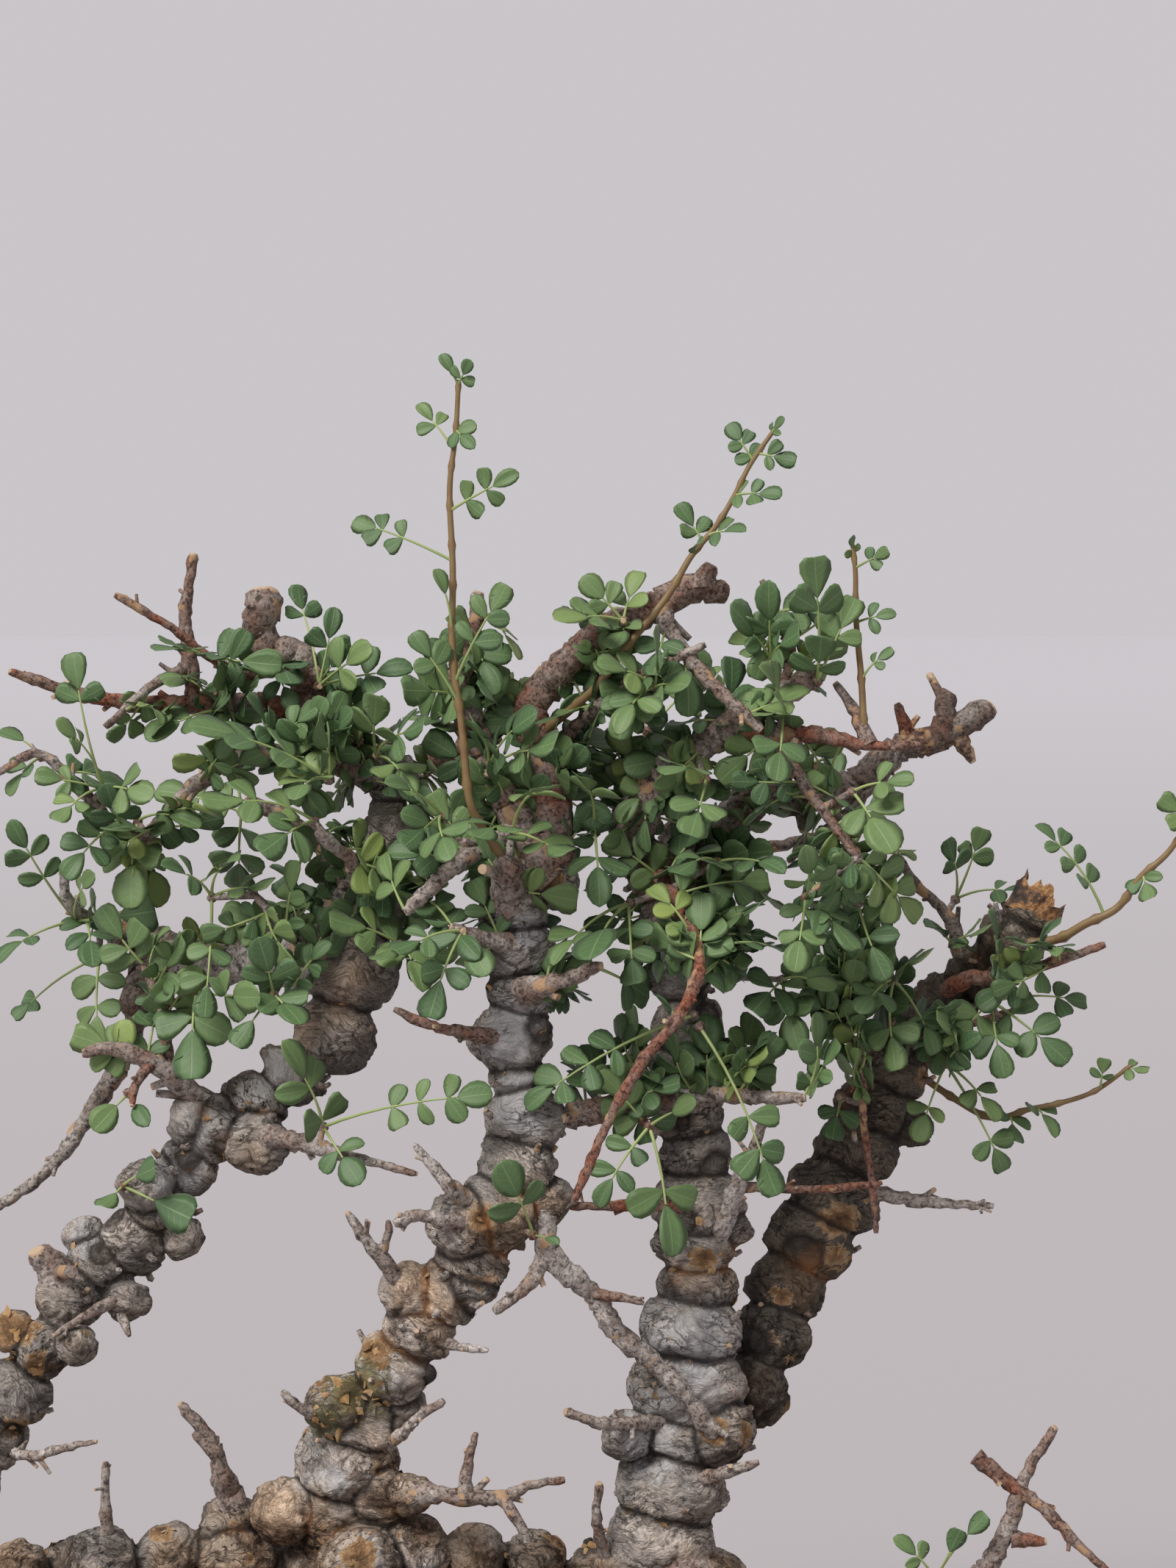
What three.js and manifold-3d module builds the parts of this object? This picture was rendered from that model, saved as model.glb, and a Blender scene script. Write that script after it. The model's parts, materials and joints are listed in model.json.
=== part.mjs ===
import * as THREE from 'three';
import { mergeVertices } from 'three/addons/utils/BufferGeometryUtils.js';
import Module from 'manifold-3d';

// Commiphora bonsai in a plain pot, in millimetres, +Z up.
// The origin is the middle of the pot's flat underside, on the surface it stands on.

// Driving dimensions of the pot and the soil
const potLength = 384;
const potDepth = 232;
const potHeight = 88;
const potWall = 8;
const potFloor = 11;
const potFootHeight = 9;
const rimHeight = 11;
const rimOverhang = 5;
const potTaper = 16;
const potSquareness = 2.9;
const potSides = 28;
const drainRadius = 8;
const drainSpread = 96;
const drainSides = 16;
const edgeRound = 1.5;
const soilEdgeHeight = 80;
const soilCrownHeight = 89;
const soilRings = 2;

// Clearances between separate pieces
const seatGap = 0.3;
const leafGap = 0.35;
const mergeDistance = 1e-4;

// The viewpoint that the tree is laid out from: its distance, its tilt and what it looks at.
// Points of the tree are given as [across, up, deep, ...]: millimetres to the right of the middle of
// the view, millimetres above its lower edge, and world depth behind the tree's middle plane.
const viewDistance = 1500;
const viewTilt = THREE.MathUtils.degToRad(4);
const viewMiddle = new THREE.Vector3(55, 12, 386);
const viewHeight = 533.25;

const viewAhead = new THREE.Vector3(0, Math.cos(viewTilt), -Math.sin(viewTilt));
const viewUp = new THREE.Vector3(0, Math.sin(viewTilt), Math.cos(viewTilt));
const eye = viewMiddle.clone().addScaledVector(viewAhead, -viewDistance);

// The point at a given depth that shows at (across, up) in the view
function seen([across, up, deep]) {
  const onPlane = viewMiddle.clone();
  onPlane.x += across;
  onPlane.addScaledVector(viewUp, up - viewHeight / 2);
  const ray = onPlane.sub(eye);
  const reach = (viewMiddle.y + deep - eye.y) / ray.y;
  return eye.clone().addScaledVector(ray, reach);
}

// Seeded draws between 0 and 1, the same on every run
function drawsFrom(seed) {
  let state = (seed * 2654435761) >>> 0;
  return () => {
    state = (state + 0x6d2b79f5) >>> 0;
    let mixed = Math.imul(state ^ (state >>> 15), 1 | state);
    mixed = (mixed + Math.imul(mixed ^ (mixed >>> 7), 61 | mixed)) ^ mixed;
    return ((mixed ^ (mixed >>> 14)) >>> 0) / 4294967296;
  };
}

const wasm = await Module();
wasm.setup();

function solidOf(geometry) {
  geometry.deleteAttribute('normal');
  geometry.deleteAttribute('uv');
  const merged = mergeVertices(geometry, mergeDistance);
  const mesh = new wasm.Mesh({
    numProp: 3,
    vertProperties: new Float32Array(merged.attributes.position.array),
    triVerts: new Uint32Array(merged.index.array),
  });
  return new wasm.Manifold(mesh);
}

function geometryOf(solid) {
  const mesh = solid.getMesh();
  const geometry = new THREE.BufferGeometry();
  const position = new THREE.BufferAttribute(new Float32Array(mesh.vertProperties), 3);
  geometry.setAttribute('position', position);
  geometry.setIndex(new THREE.BufferAttribute(new Uint32Array(mesh.triVerts), 1));
  geometry.computeVertexNormals();
  return geometry;
}

// Joins neighbours first, so that each cut stays small
function joined(solids) {
  let level = solids;
  while (level.length > 1) {
    const next = [];
    for (let i = 0; i < level.length; i += 2) {
      next.push(i + 1 < level.length ? level[i].add(level[i + 1]) : level[i]);
    }
    level = next;
  }
  return level[0];
}

// The largest body of a cut solid: the loose scraps are dropped
function largest(solid) {
  return solid.decompose().sort((a, b) => b.volume() - a.volume())[0];
}

const group = new THREE.Group();

function place(name, solid, color, roughness) {
  const material = new THREE.MeshStandardMaterial({ color, roughness, metalness: 0 });
  const mesh = new THREE.Mesh(geometryOf(solid), material);
  mesh.name = name;
  group.add(mesh);
}

// Pot: a plain oval tray, lathed round and then drawn out along its length.
// A ring keeps its distance from the wall, so that the wall has one thickness all round.
function ovalRing(radius, angle) {
  const halfLength = potLength / 2;
  const halfDepth = potDepth / 2;
  const nearWall = radius > halfLength / 2;
  const acrossShort = nearWall ? radius - halfLength + halfDepth : (radius * halfDepth) / halfLength;
  const power = 2 / potSquareness;
  const c = Math.cos(angle);
  const s = Math.sin(angle);
  return [
    radius * Math.sign(c) * Math.abs(c) ** power,
    acrossShort * Math.sign(s) * Math.abs(s) ** power,
  ];
}

function ovalLathe(profile) {
  const points = profile.map(([r, z]) => new THREE.Vector2(r, z));
  const geometry = new THREE.LatheGeometry(points, potSides);
  const position = geometry.attributes.position;
  for (let i = 0; i < position.count; i++) {
    const radius = Math.hypot(position.getX(i), position.getZ(i));
    const angle = Math.atan2(position.getX(i), position.getZ(i));
    const [x, y] = radius > 1e-6 ? ovalRing(radius, angle) : [0, 0];
    position.setXYZ(i, x, y, position.getY(i));
  }
  return outwards(geometry);
}

// Turns a closed geometry's faces the right way out
function outwards(geometry) {
  const indexed = geometry.index ? geometry : mergeVertices(geometry);
  const position = indexed.attributes.position;
  const index = indexed.index.array;
  const a = new THREE.Vector3();
  const b = new THREE.Vector3();
  const c = new THREE.Vector3();
  let volume = 0;
  for (let i = 0; i < index.length; i += 3) {
    a.fromBufferAttribute(position, index[i]);
    b.fromBufferAttribute(position, index[i + 1]);
    c.fromBufferAttribute(position, index[i + 2]);
    volume += a.dot(b.cross(c));
  }
  if (volume < 0) {
    for (let i = 0; i < index.length; i += 3) {
      [index[i], index[i + 1]] = [index[i + 1], index[i]];
    }
  }
  return indexed;
}

const innerHalf = potLength / 2 - rimOverhang - potWall;

function makePot() {
  const outer = potLength / 2;
  const body = ovalLathe([
    [0, 0],
    [outer - potTaper - potWall, 0],
    [outer - potTaper, potFootHeight],
    [outer - rimOverhang, potHeight - rimHeight],
    [outer, potHeight - rimHeight + edgeRound],
    [outer, potHeight - edgeRound],
    [outer - edgeRound, potHeight],
    [innerHalf, potHeight],
    [innerHalf - potTaper + rimOverhang, potFloor],
    [0, potFloor],
  ]);
  let pot = solidOf(body);
  for (const side of [-1, 1]) {
    const drain = new THREE.CylinderGeometry(drainRadius, drainRadius, 3 * potFloor, drainSides);
    drain.rotateX(Math.PI / 2);
    drain.translate(side * drainSpread, 0, potFloor / 2);
    pot = pot.subtract(solidOf(drain));
  }
  return pot;
}

// Soil: fills the pot to just under the rim and swells a little towards the middle
function makeSoil(woodInSoil) {
  const wallRun = (potTaper - rimOverhang) / (potHeight - potFloor);
  const inset = (z) => innerHalf - (potHeight - z) * wallRun - seatGap;
  const floor = potFloor + seatGap;
  const profile = [[0, floor], [inset(potFloor), floor], [inset(soilEdgeHeight), soilEdgeHeight]];
  for (let i = 1; i <= soilRings; i++) {
    const inward = i / soilRings;
    const height = soilEdgeHeight + (soilCrownHeight - soilEdgeHeight) * Math.sin((inward * Math.PI) / 2);
    profile.push([i === soilRings ? 0 : inset(soilEdgeHeight) * (1 - inward), height]);
  }
  return largest(solidOf(ovalLathe(profile)).subtract(woodInSoil));
}

// Wood: each stem is a run of swellings [across, up, deep, radius] with a neck between every two
const stems = {
  trunk: [
    [-222, -9, 2, 13], [-205, -13, 2, 20], [-174, -12, 0, 21], [-143, -13, -2, 20], [-112, -12, 0, 22],
    [-81, -12, -3, 21], [-50, -13, 0, 20], [-20, -12, 2, 19], [10, -12, 0, 21], [38, -12, 0, 19],
    [54, -14, -1, 12],
  ],
  left: [
    [-211, -8, 2, 16], [-219, 14, 0, 14], [-212, 31, -4, 12.5], [-203, 45, -8, 12], [-194, 60, -10, 11.5],
    [-185, 75, -12, 10.5], [-176, 92, -9, 11.5], [-166, 103, -6, 10.5], [-154, 112, -6, 11.5],
    [-146, 125, -9, 10.5], [-136, 137, -7, 10.5], [-127, 149, -8, 11.5], [-114, 158, -4, 11],
    [-100, 168, -2, 10.5],
    [-86, 182, -2, 14], [-80, 203, 1, 15.5], [-75, 224, 5, 12], [-69, 248, 8, 10], [-68, 272, 8, 8.5],
  ],
  middle: [
    [-86, 2, -4, 18], [-84, 20, -8, 18], [-82, 36, -12, 17], [-77, 52, -17, 14], [-66, 68, -21, 12.5],
    [-57, 82, -23, 12], [-48, 94, -24, 12], [-39, 107, -26, 12.5], [-31, 121, -27, 14],
    [-24, 137, -25, 13],
    [-21, 152, -23, 13], [-24, 168, -21, 10], [-26, 180, -20, 13.5], [-23, 195, -19, 11],
    [-24, 210, -18, 12],
    [-25, 224, -17, 11.5], [-22, 236, -16, 8],
  ],
  right: [
    [22, -6, 0, 18], [24, 10, 0, 19], [28, 28, 0, 18.5], [32, 46, 1, 17], [34, 62, 2, 19.5],
    [35, 80, 2, 17],
    [37, 96, 3, 13.5], [37, 111, 3, 14], [37, 124, 3, 15.5], [37, 140, 4, 12.5], [34, 154, 5, 12],
    [33, 169, 5, 12.5], [34, 184, 5, 12], [32, 202, 6, 11], [28, 220, 6, 10.5], [22, 237, 6, 10],
    [15, 254, 4, 8.5],
  ],
  leaning: [
    [43, 48, 10, 13], [56, 62, 18, 12], [63, 80, 22, 13], [68, 96, 26, 13.5], [76, 112, 29, 15],
    [84, 127, 31, 15.5],
    [91, 142, 34, 14.5], [97, 156, 36, 13.5], [103, 169, 38, 12.5], [111, 181, 41, 12],
    [121, 191, 42, 11.5],
    [132, 201, 42, 11], [143, 212, 40, 12], [149, 221, 40, 9],
  ],
};

// Knobs [across, up, deep, radius] that bulge out of the sides of the stems
const knobs = [
  [-195, 80, -12, 8], [-174, 76, -20, 7.5], [-157, 91, -12, 8], [-171, 113, -2, 7.5],
  [-138, 112, -10, 7.5],
  [-150, 130, -16, 9.5], [-113, 144, -12, 11.5], [-133, 151, -8, 10], [-103, 19, -16, 11.5],
  [-70, 24, -20, 11],
  [-66, 54, -16, 10.5], [-84, 56, -22, 11.5], [-60, 94, -24, 11], [-41, 97, -26, 10.5],
  [-42, 117, -31, 12.5],
  [-15, 125, -24, 9.5], [-13, 233, -12, 9.5], [-61, 25, -28, 8], [14, 45, -8, 9.5], [43, 47, -4, 13.5],
  [49, 115, 0, 7], [60, 56, 20, 9], [110, 150, 34, 8], [-145, 208, 42, 10], [-157, 217, 45, 8],
  [-194, -1, -14, 11], [-165, 3, -18, 12.5], [-143, 5, -14, 11.5], [-121, 14, -8, 11.5],
  [-120, 2, -14, 13],
  [-77, 1, -30, 14], [-61, 6, -20, 13], [-39, 4, -14, 11], [-18, 4, -12, 10],
];

// Roots [points of the run, first radius, last radius] go down from the trunk into the soil
const roots = [
  { run: [[-118, -12, -10], [-112, -24, -40], [-104, -38, -58]], from: 10, to: 5 },
  { run: [[-60, -12, -10], [-50, -26, -38], [-44, -40, -52]], from: 9, to: 5 },
  { run: [[30, -6, -8], [38, -24, -34], [48, -40, -50]], from: 12, to: 6 },
  { run: [[36, -6, 8], [52, -24, 26], [62, -40, 38]], from: 11, to: 5 },
];

// Branches and dead twigs [points], first and last radius; the first point lies inside what carries it
const branches = [
  // Background branch
  { run: [[-88, 206, 6], [-110, 208, 24], [-130, 207, 36], [-146, 208, 42]], from: 8, to: 7 },
  { run: [[-146, 208, 42], [-150, 198, 43], [-154, 186, 42]], from: 7, to: 5 },
  // Upper left
  {
    run: [
      [-68, 272, 8], [-80, 278, 12], [-95, 287, 16], [-94, 300, 16], [-99, 310, 15], [-109, 312, 14],
      [-112, 321, 14], [-110, 332, 13],
    ],
    from: 6,
    to: 5.5,
  },
  {
    run: [
      [-97, 290, 16], [-112, 293, 18], [-130, 294, 18], [-149, 294, 16], [-168, 296, 12],
      [-182, 300, 8], [-197, 305, 4],
    ],
    from: 4.5,
    to: 1.4,
  },
  { run: [[-134, 294, 18], [-135, 305, 18], [-137, 324, 17], [-134, 345, 16]], from: 2.6, to: 1.6 },
  {
    run: [[-105, 311, 15], [-116, 304, 8], [-129, 310, 4], [-142, 320, 0], [-161, 331, -4]],
    from: 2,
    to: 1.2,
  },
  { run: [[-136, 307, 18], [-151, 298, 10], [-164, 286, 4]], from: 1.8, to: 1.2 },
  {
    run: [
      [-72, 266, 2], [-90, 275, -4], [-115, 277, -8], [-136, 264, -8], [-153, 249, -4], [-170, 262, -4],
      [-187, 277, -6], [-201, 270, -8],
    ],
    from: 3.4,
    to: 1.3,
  },
  { run: [[-159, 219, 45], [-172, 222, 30], [-178, 230, 20], [-177, 241, 16]], from: 2.8, to: 1.4 },
  { run: [[-88, 225, 0], [-93, 213, -10], [-97, 203, -18], [-105, 190, -24]], from: 2.6, to: 1.6 },
  { run: [[-85, 206, -4], [-97, 212, -16], [-104, 217, -22], [-113, 229, -26]], from: 2.4, to: 1.2 },
  {
    run: [[-130, 158, -6], [-140, 166, -12], [-149, 172, -16], [-162, 177, -18], [-172, 175, -18]],
    from: 3.6,
    to: 2,
  },
  { run: [[-142, 168, -13], [-145, 189, -12], [-151, 205, -10]], from: 2.2, to: 1.4 },
  { run: [[-148, 172, -16], [-154, 164, -24], [-155, 157, -28]], from: 1.8, to: 1.1 },
  { run: [[-113, 146, -14], [-102, 146, -26], [-88, 142, -30], [-58, 134, -34]], from: 3.6, to: 0.9 },
  { run: [[-157, 92, -14], [-167, 88, -22], [-182, 79, -26]], from: 2.2, to: 1 },
  { run: [[-160, 89, -14], [-156, 79, -24]], from: 1.8, to: 1 },
  { run: [[-200, 42, -10], [-190, 38, -20], [-178, 41, -24], [-167, 43, -26]], from: 2.2, to: 0.9 },
  { run: [[-178, 95, -10], [-183, 103, -15], [-188, 108, -18]], from: 5.5, to: 3.4 },
  {
    run: [
      [-153, 189, 42], [-156, 177, 42], [-162, 166, 41], [-170, 154, 40], [-183, 136, 38],
      [-202, 122, 36],
    ],
    from: 3.6,
    to: 1.6,
  },
  // Crown of the middle stem
  {
    run: [
      [-14, 232, -14], [-22, 250, -14], [-32, 268, -12], [-40, 286, -10], [-45, 300, -8],
      [-40, 313, -6], [-37, 332, -4],
    ],
    from: 6.5,
    to: 2.4,
  },
  {
    run: [
      [-13, 233, -12], [-12, 254, -10], [-15, 274, -8], [-20, 291, -6], [-9, 306, -6], [4, 317, -6],
      [22, 326, -4], [36, 333, -2], [47, 331, 0],
    ],
    from: 6,
    to: 4.4,
  },
  { run: [[38, 333, -3], [42, 341, -2]], from: 3, to: 2.4 },
  {
    run: [[24, 327, -4], [32, 313, -14], [42, 301, -22], [50, 293, -26], [59, 285, -28]],
    from: 2.6,
    to: 1.8,
  },
  {
    run: [[-14, 268, -9], [-6, 284, -14], [8, 297, -18], [20, 305, -18], [40, 314, -18]],
    from: 2.6,
    to: 1.3,
  },
  { run: [[-25, 224, -22], [-28, 235, -30], [-27, 242, -34]], from: 5.5, to: 3.6 },
  { run: [[-23, 252, -14], [-45, 239, -30], [-62, 223, -40]], from: 3.2, to: 2 },
  { run: [[-26, 212, -26], [-36, 214, -34], [-47, 218, -38]], from: 3, to: 1.6 },
  { run: [[-26, 180, -26], [-40, 182, -34], [-52, 184, -38], [-66, 190, -40]], from: 2.8, to: 1.2 },
  { run: [[-23, 196, -24], [-15, 198, -34], [-8, 200, -38], [5, 205, -42]], from: 4, to: 1.6 },
  // Low on the middle stem
  { run: [[-38, 122, -34], [-47, 130, -40], [-53, 137, -42], [-59, 144, -44]], from: 3, to: 1.2 },
  { run: [[-38, 116, -36], [-50, 118, -46], [-57, 120, -48], [-66, 117, -50]], from: 3, to: 1.6 },
  { run: [[-63, 96, -30], [-70, 105, -36], [-76, 112, -38], [-82, 121, -40]], from: 3, to: 1.2 },
  { run: [[-71, 106, -36], [-68, 113, -38], [-68, 118, -40]], from: 1.6, to: 1 },
  {
    run: [
      [-15, 124, -28], [-14, 109, -32], [-9, 102, -32], [0, 95, -30], [11, 79, -26], [22, 70, -24],
      [35, 56, -20], [43, 45, -16],
    ],
    from: 3.8,
    to: 2.6,
  },
  { run: [[-13, 112, -31], [-19, 98, -36], [-32, 87, -40]], from: 2.6, to: 1.6 },
  { run: [[2, 93, -30], [12, 92, -36], [19, 90, -38]], from: 1.8, to: 1 },
  { run: [[-50, 77, -28], [-42, 75, -34], [-34, 74, -36]], from: 1.8, to: 0.9 },
  { run: [[-88, 52, -24], [-97, 54, -30], [-104, 60, -32]], from: 2.2, to: 1.2 },
  { run: [[-73, 40, -16], [-64, 45, -30], [-58, 51, -34], [-49, 57, -36]], from: 2.6, to: 1.2 },
  {
    run: [
      [-62, 25, -30], [-52, 25, -36], [-38, 24, -38], [-28, 24, -38], [-20, 28, -38], [-8, 30, -38],
    ],
    from: 3.4,
    to: 1.2,
  },
  { run: [[-42, 24, -38], [-41, 34, -38], [-38, 46, -38]], from: 2.2, to: 1.2 },
  { run: [[-30, 24, -38], [-25, 18, -42], [-20, 8, -42]], from: 2, to: 1.2 },
  // Foot of the left stems
  { run: [[-163, 8, -22], [-164, 22, -26], [-164, 36, -28]], from: 2.4, to: 1.1 },
  { run: [[-121, 20, -12], [-125, 33, -18], [-128, 43, -20], [-139, 56, -22]], from: 4, to: 1.4 },
  { run: [[-127, 40, -20], [-134, 46, -22]], from: 2, to: 1.4 },
  { run: [[8, -4, -6], [3, 16, -16], [4, 29, -18]], from: 2.2, to: 1.3 },
  // Crown of the right stem
  {
    run: [[16, 250, 2], [22, 266, -4], [38, 279, -8], [51, 288, -10], [62, 294, -10], [78, 304, -10]],
    from: 6.5,
    to: 3.2,
  },
  {
    run: [[50, 288, -10], [62, 284, -14], [80, 283, -16], [93, 280, -18], [113, 280, -20]],
    from: 3.6,
    to: 1.2,
  },
  { run: [[64, 284, -14], [72, 269, -24], [81, 256, -28], [92, 242, -32]], from: 2.6, to: 1.5 },
  { run: [[96, 280, -18], [91, 291, -14], [84, 301, -10]], from: 2.2, to: 1.5 },
  { run: [[66, 298, -10], [69, 312, -6], [64, 325, -4], [59, 336, -4]], from: 2, to: 1.1 },
  {
    run: [
      [29, 222, 8], [42, 244, 24], [59, 264, 40], [70, 262, 46], [85, 264, 48], [96, 270, 48],
      [106, 279, 46], [119, 282, 44], [137, 293, 42],
    ],
    from: 7,
    to: 3.8,
  },
  { run: [[76, 262, 47], [77, 274, 44]], from: 2.6, to: 1.2 },
  { run: [[72, 262, 46], [73, 250, 44]], from: 2.6, to: 1.2 },
  { run: [[110, 281, 46], [105, 294, 44]], from: 2.8, to: 1.2 },
  { run: [[120, 283, 44], [123, 298, 42]], from: 3.4, to: 3 },
  { run: [[124, 285, 44], [131, 274, 42]], from: 2.8, to: 1.6 },
  { run: [[24, 236, 10], [30, 252, 34], [28, 272, 56], [18, 290, 68]], from: 4.5, to: 2 },
  { run: [[27, 244, 20], [56, 244, 60], [84, 250, 76]], from: 3, to: 1.8 },
  // Middle of the right stem
  { run: [[34, 160, -4], [14, 158, -17], [-1, 155, -20], [-8, 154, -21]], from: 3, to: 4.2 },
  { run: [[30, 160, -6], [47, 161, -17], [62, 160, -20], [74, 160, -22]], from: 2.8, to: 1.8 },
  { run: [[12, 158, -17], [23, 148, -24]], from: 1.8, to: 1.1 },
  {
    run: [
      [23, 238, 0], [30, 226, -22], [38, 206, -40], [31, 188, -46], [19, 173, -50], [9, 156, -52],
      [0, 136, -54], [-5, 124, -54],
    ],
    from: 2.4,
    to: 1.4,
  },
  { run: [[36, 122, -6], [20, 123, -16], [6, 123, -20], [-7, 123, -22]], from: 2.4, to: 1.2 },
  { run: [[44, 112, -4], [50, 128, -12], [55, 140, -16], [62, 158, -20]], from: 3.4, to: 1.3 },
  { run: [[52, 130, -12], [66, 129, -10], [82, 129, -8], [100, 131, -6]], from: 1.8, to: 1 },
  { run: [[28, 50, -8], [6, 49, -24], [-8, 53, -28]], from: 2.6, to: 1.5 },
  { run: [[38, 30, -12], [49, 33, -18], [58, 36, -20]], from: 2.4, to: 1.3 },
  // Dark leaning stem
  { run: [[87, 130, 30], [106, 126, 28], [122, 124, 26], [138, 123, 24]], from: 3.4, to: 1 },
  {
    run: [
      [106, 180, 34], [96, 194, 20], [87, 190, 10], [92, 171, 6], [94, 149, 4], [97, 128, 4],
      [98, 114, 4],
    ],
    from: 2,
    to: 1.1,
  },
  {
    run: [[119, 193, 36], [128, 200, 26], [140, 201, 22], [152, 204, 20], [176, 212, 16]],
    from: 2.8,
    to: 1.4,
  },
  { run: [[108, 180, 36], [112, 184, 24], [118, 178, 20], [125, 170, 18]], from: 1.8, to: 1 },
  { run: [[122, 186, 38], [134, 186, 28], [152, 192, 24]], from: 2, to: 1 },
  { run: [[128, 206, 44], [122, 222, 50], [112, 232, 52], [104, 244, 50]], from: 2.6, to: 1.3 },
  { run: [[106, 279, 46], [101, 270, 45], [84, 254, 46], [68, 240, 48]], from: 1.5, to: 1 },
  // Branches that carry the leaves at the front and at the back
  { run: [[-75, 222, 6], [-84, 238, 34], [-98, 252, 56], [-116, 262, 66]], from: 4.5, to: 2 },
  { run: [[-68, 262, 10], [-58, 270, 34], [-44, 278, 54], [-30, 282, 66]], from: 4, to: 1.8 },
  { run: [[-76, 228, -2], [-80, 240, -24], [-92, 250, -40]], from: 3.6, to: 1.8 },
  // Low branch at the right, out of the view at its foot
  {
    run: [
      [34, -2, -4], [62, -12, -8], [96, -17, -12], [122, -11, -14], [136, 1, -16], [143, 14, -16],
      [146, 24, -16], [150, 34, -16], [159, 48, -16],
    ],
    from: 6.5,
    to: 1.7,
  },
  { run: [[144, 10, -16], [156, 9, -18]], from: 2.2, to: 1.5 },
  {
    run: [[132, 38, -18], [146, 27, -17], [154, 21, -19], [168, 7, -24], [184, -8, -26]],
    from: 2.4,
    to: 1.2,
  },
];

const stemSides = 7;
const neckShare = 0.8;
const bellyShare = 1.06;

// A curve that runs straight through its stations, one after the other
class StationPath extends THREE.Curve {
  constructor(stations) {
    super();
    this.stations = stations;
  }

  getPointAt(u) {
    return this.stations[Math.round(u * (this.stations.length - 1))].clone();
  }

  getTangentAt(u) {
    const i = Math.round(u * (this.stations.length - 1));
    const next = this.stations[Math.min(i + 1, this.stations.length - 1)];
    const last = this.stations[Math.max(i - 1, 0)];
    return next.clone().sub(last).normalize();
  }
}

// A round-sided body along a path, as wide at each station as that station's radius
function bodyAlong(path, stations, radii, sides) {
  const section = new THREE.Shape();
  for (let i = 0; i < sides; i++) {
    const angle = (2 * Math.PI * i) / sides;
    if (i === 0) section.moveTo(Math.cos(angle), Math.sin(angle));
    else section.lineTo(Math.cos(angle), Math.sin(angle));
  }
  const steps = stations.length - 1;
  const geometry = new THREE.ExtrudeGeometry(section, { steps, extrudePath: path, bevelEnabled: false });
  const position = geometry.attributes.position;
  const point = new THREE.Vector3();
  for (let i = 0; i < position.count; i++) {
    point.fromBufferAttribute(position, i);
    let nearest = 0;
    for (let s = 1; s <= steps; s++) {
      if (stations[s].distanceTo(point) < stations[nearest].distanceTo(point)) nearest = s;
    }
    point.sub(stations[nearest]).multiplyScalar(radii[nearest]).add(stations[nearest]);
    position.setXYZ(i, point.x, point.y, point.z);
  }
  return solidOf(outwards(geometry));
}

// A stem: a wide station at each swelling and a narrow one at the neck between two
function stem(swellings, grow) {
  const stations = [];
  const radii = [];
  swellings.forEach((swelling, i) => {
    const centre = seen(swelling);
    if (i > 0) {
      const last = swellings[i - 1];
      const share = last[3] / (last[3] + swelling[3]);
      stations.push(seen(last).lerp(centre, share));
      radii.push(neckShare * Math.min(last[3], swelling[3]) + grow);
    }
    stations.push(centre);
    radii.push(bellyShare * swelling[3] + grow);
  });
  return bodyAlong(new StationPath(stations), stations, radii, stemSides);
}

const limbSides = 5;
const slimLimb = 6;
const thinLimb = 3.3;

// A tapering limb along a curve through its points, its ends inside its neighbours or cut off plain
function limb({ run, from, to }, grow) {
  const curve = new THREE.CatmullRomCurve3(run.map(seen), false, 'centripetal');
  const steps = run.length - 1;
  const stations = curve.getSpacedPoints(steps);
  const radii = stations.map((_, i) => from + ((to - from) * i) / steps + grow);
  const sides = limbSides - (from < slimLimb ? 1 : 0) - (from < thinLimb ? 1 : 0);
  return bodyAlong(curve, stations, radii, sides);
}

const largeKnob = 10;

// A knob: a ball turned by chance
function knob([across, up, deep, radius], draw, grow) {
  const ball = new THREE.SphereGeometry(1, radius < largeKnob ? 5 : 6, 4);
  const size = bellyShare * radius + grow;
  ball.scale(size, size, size);
  ball.rotateZ(2 * Math.PI * draw());
  ball.rotateX(Math.PI * draw());
  const centre = seen([across, up, deep]);
  ball.translate(centre.x, centre.y, centre.z);
  return solidOf(ball);
}

const knobSeed = 3;

function makeWood(grow) {
  const draw = drawsFrom(knobSeed);
  return joined([
    ...Object.values(stems).map((swellings) => stem(swellings, grow)),
    ...knobs.map((bulge) => knob(bulge, draw, grow)),
    ...[...roots, ...branches].map((run) => limb(run, grow)),
  ]);
}

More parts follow.
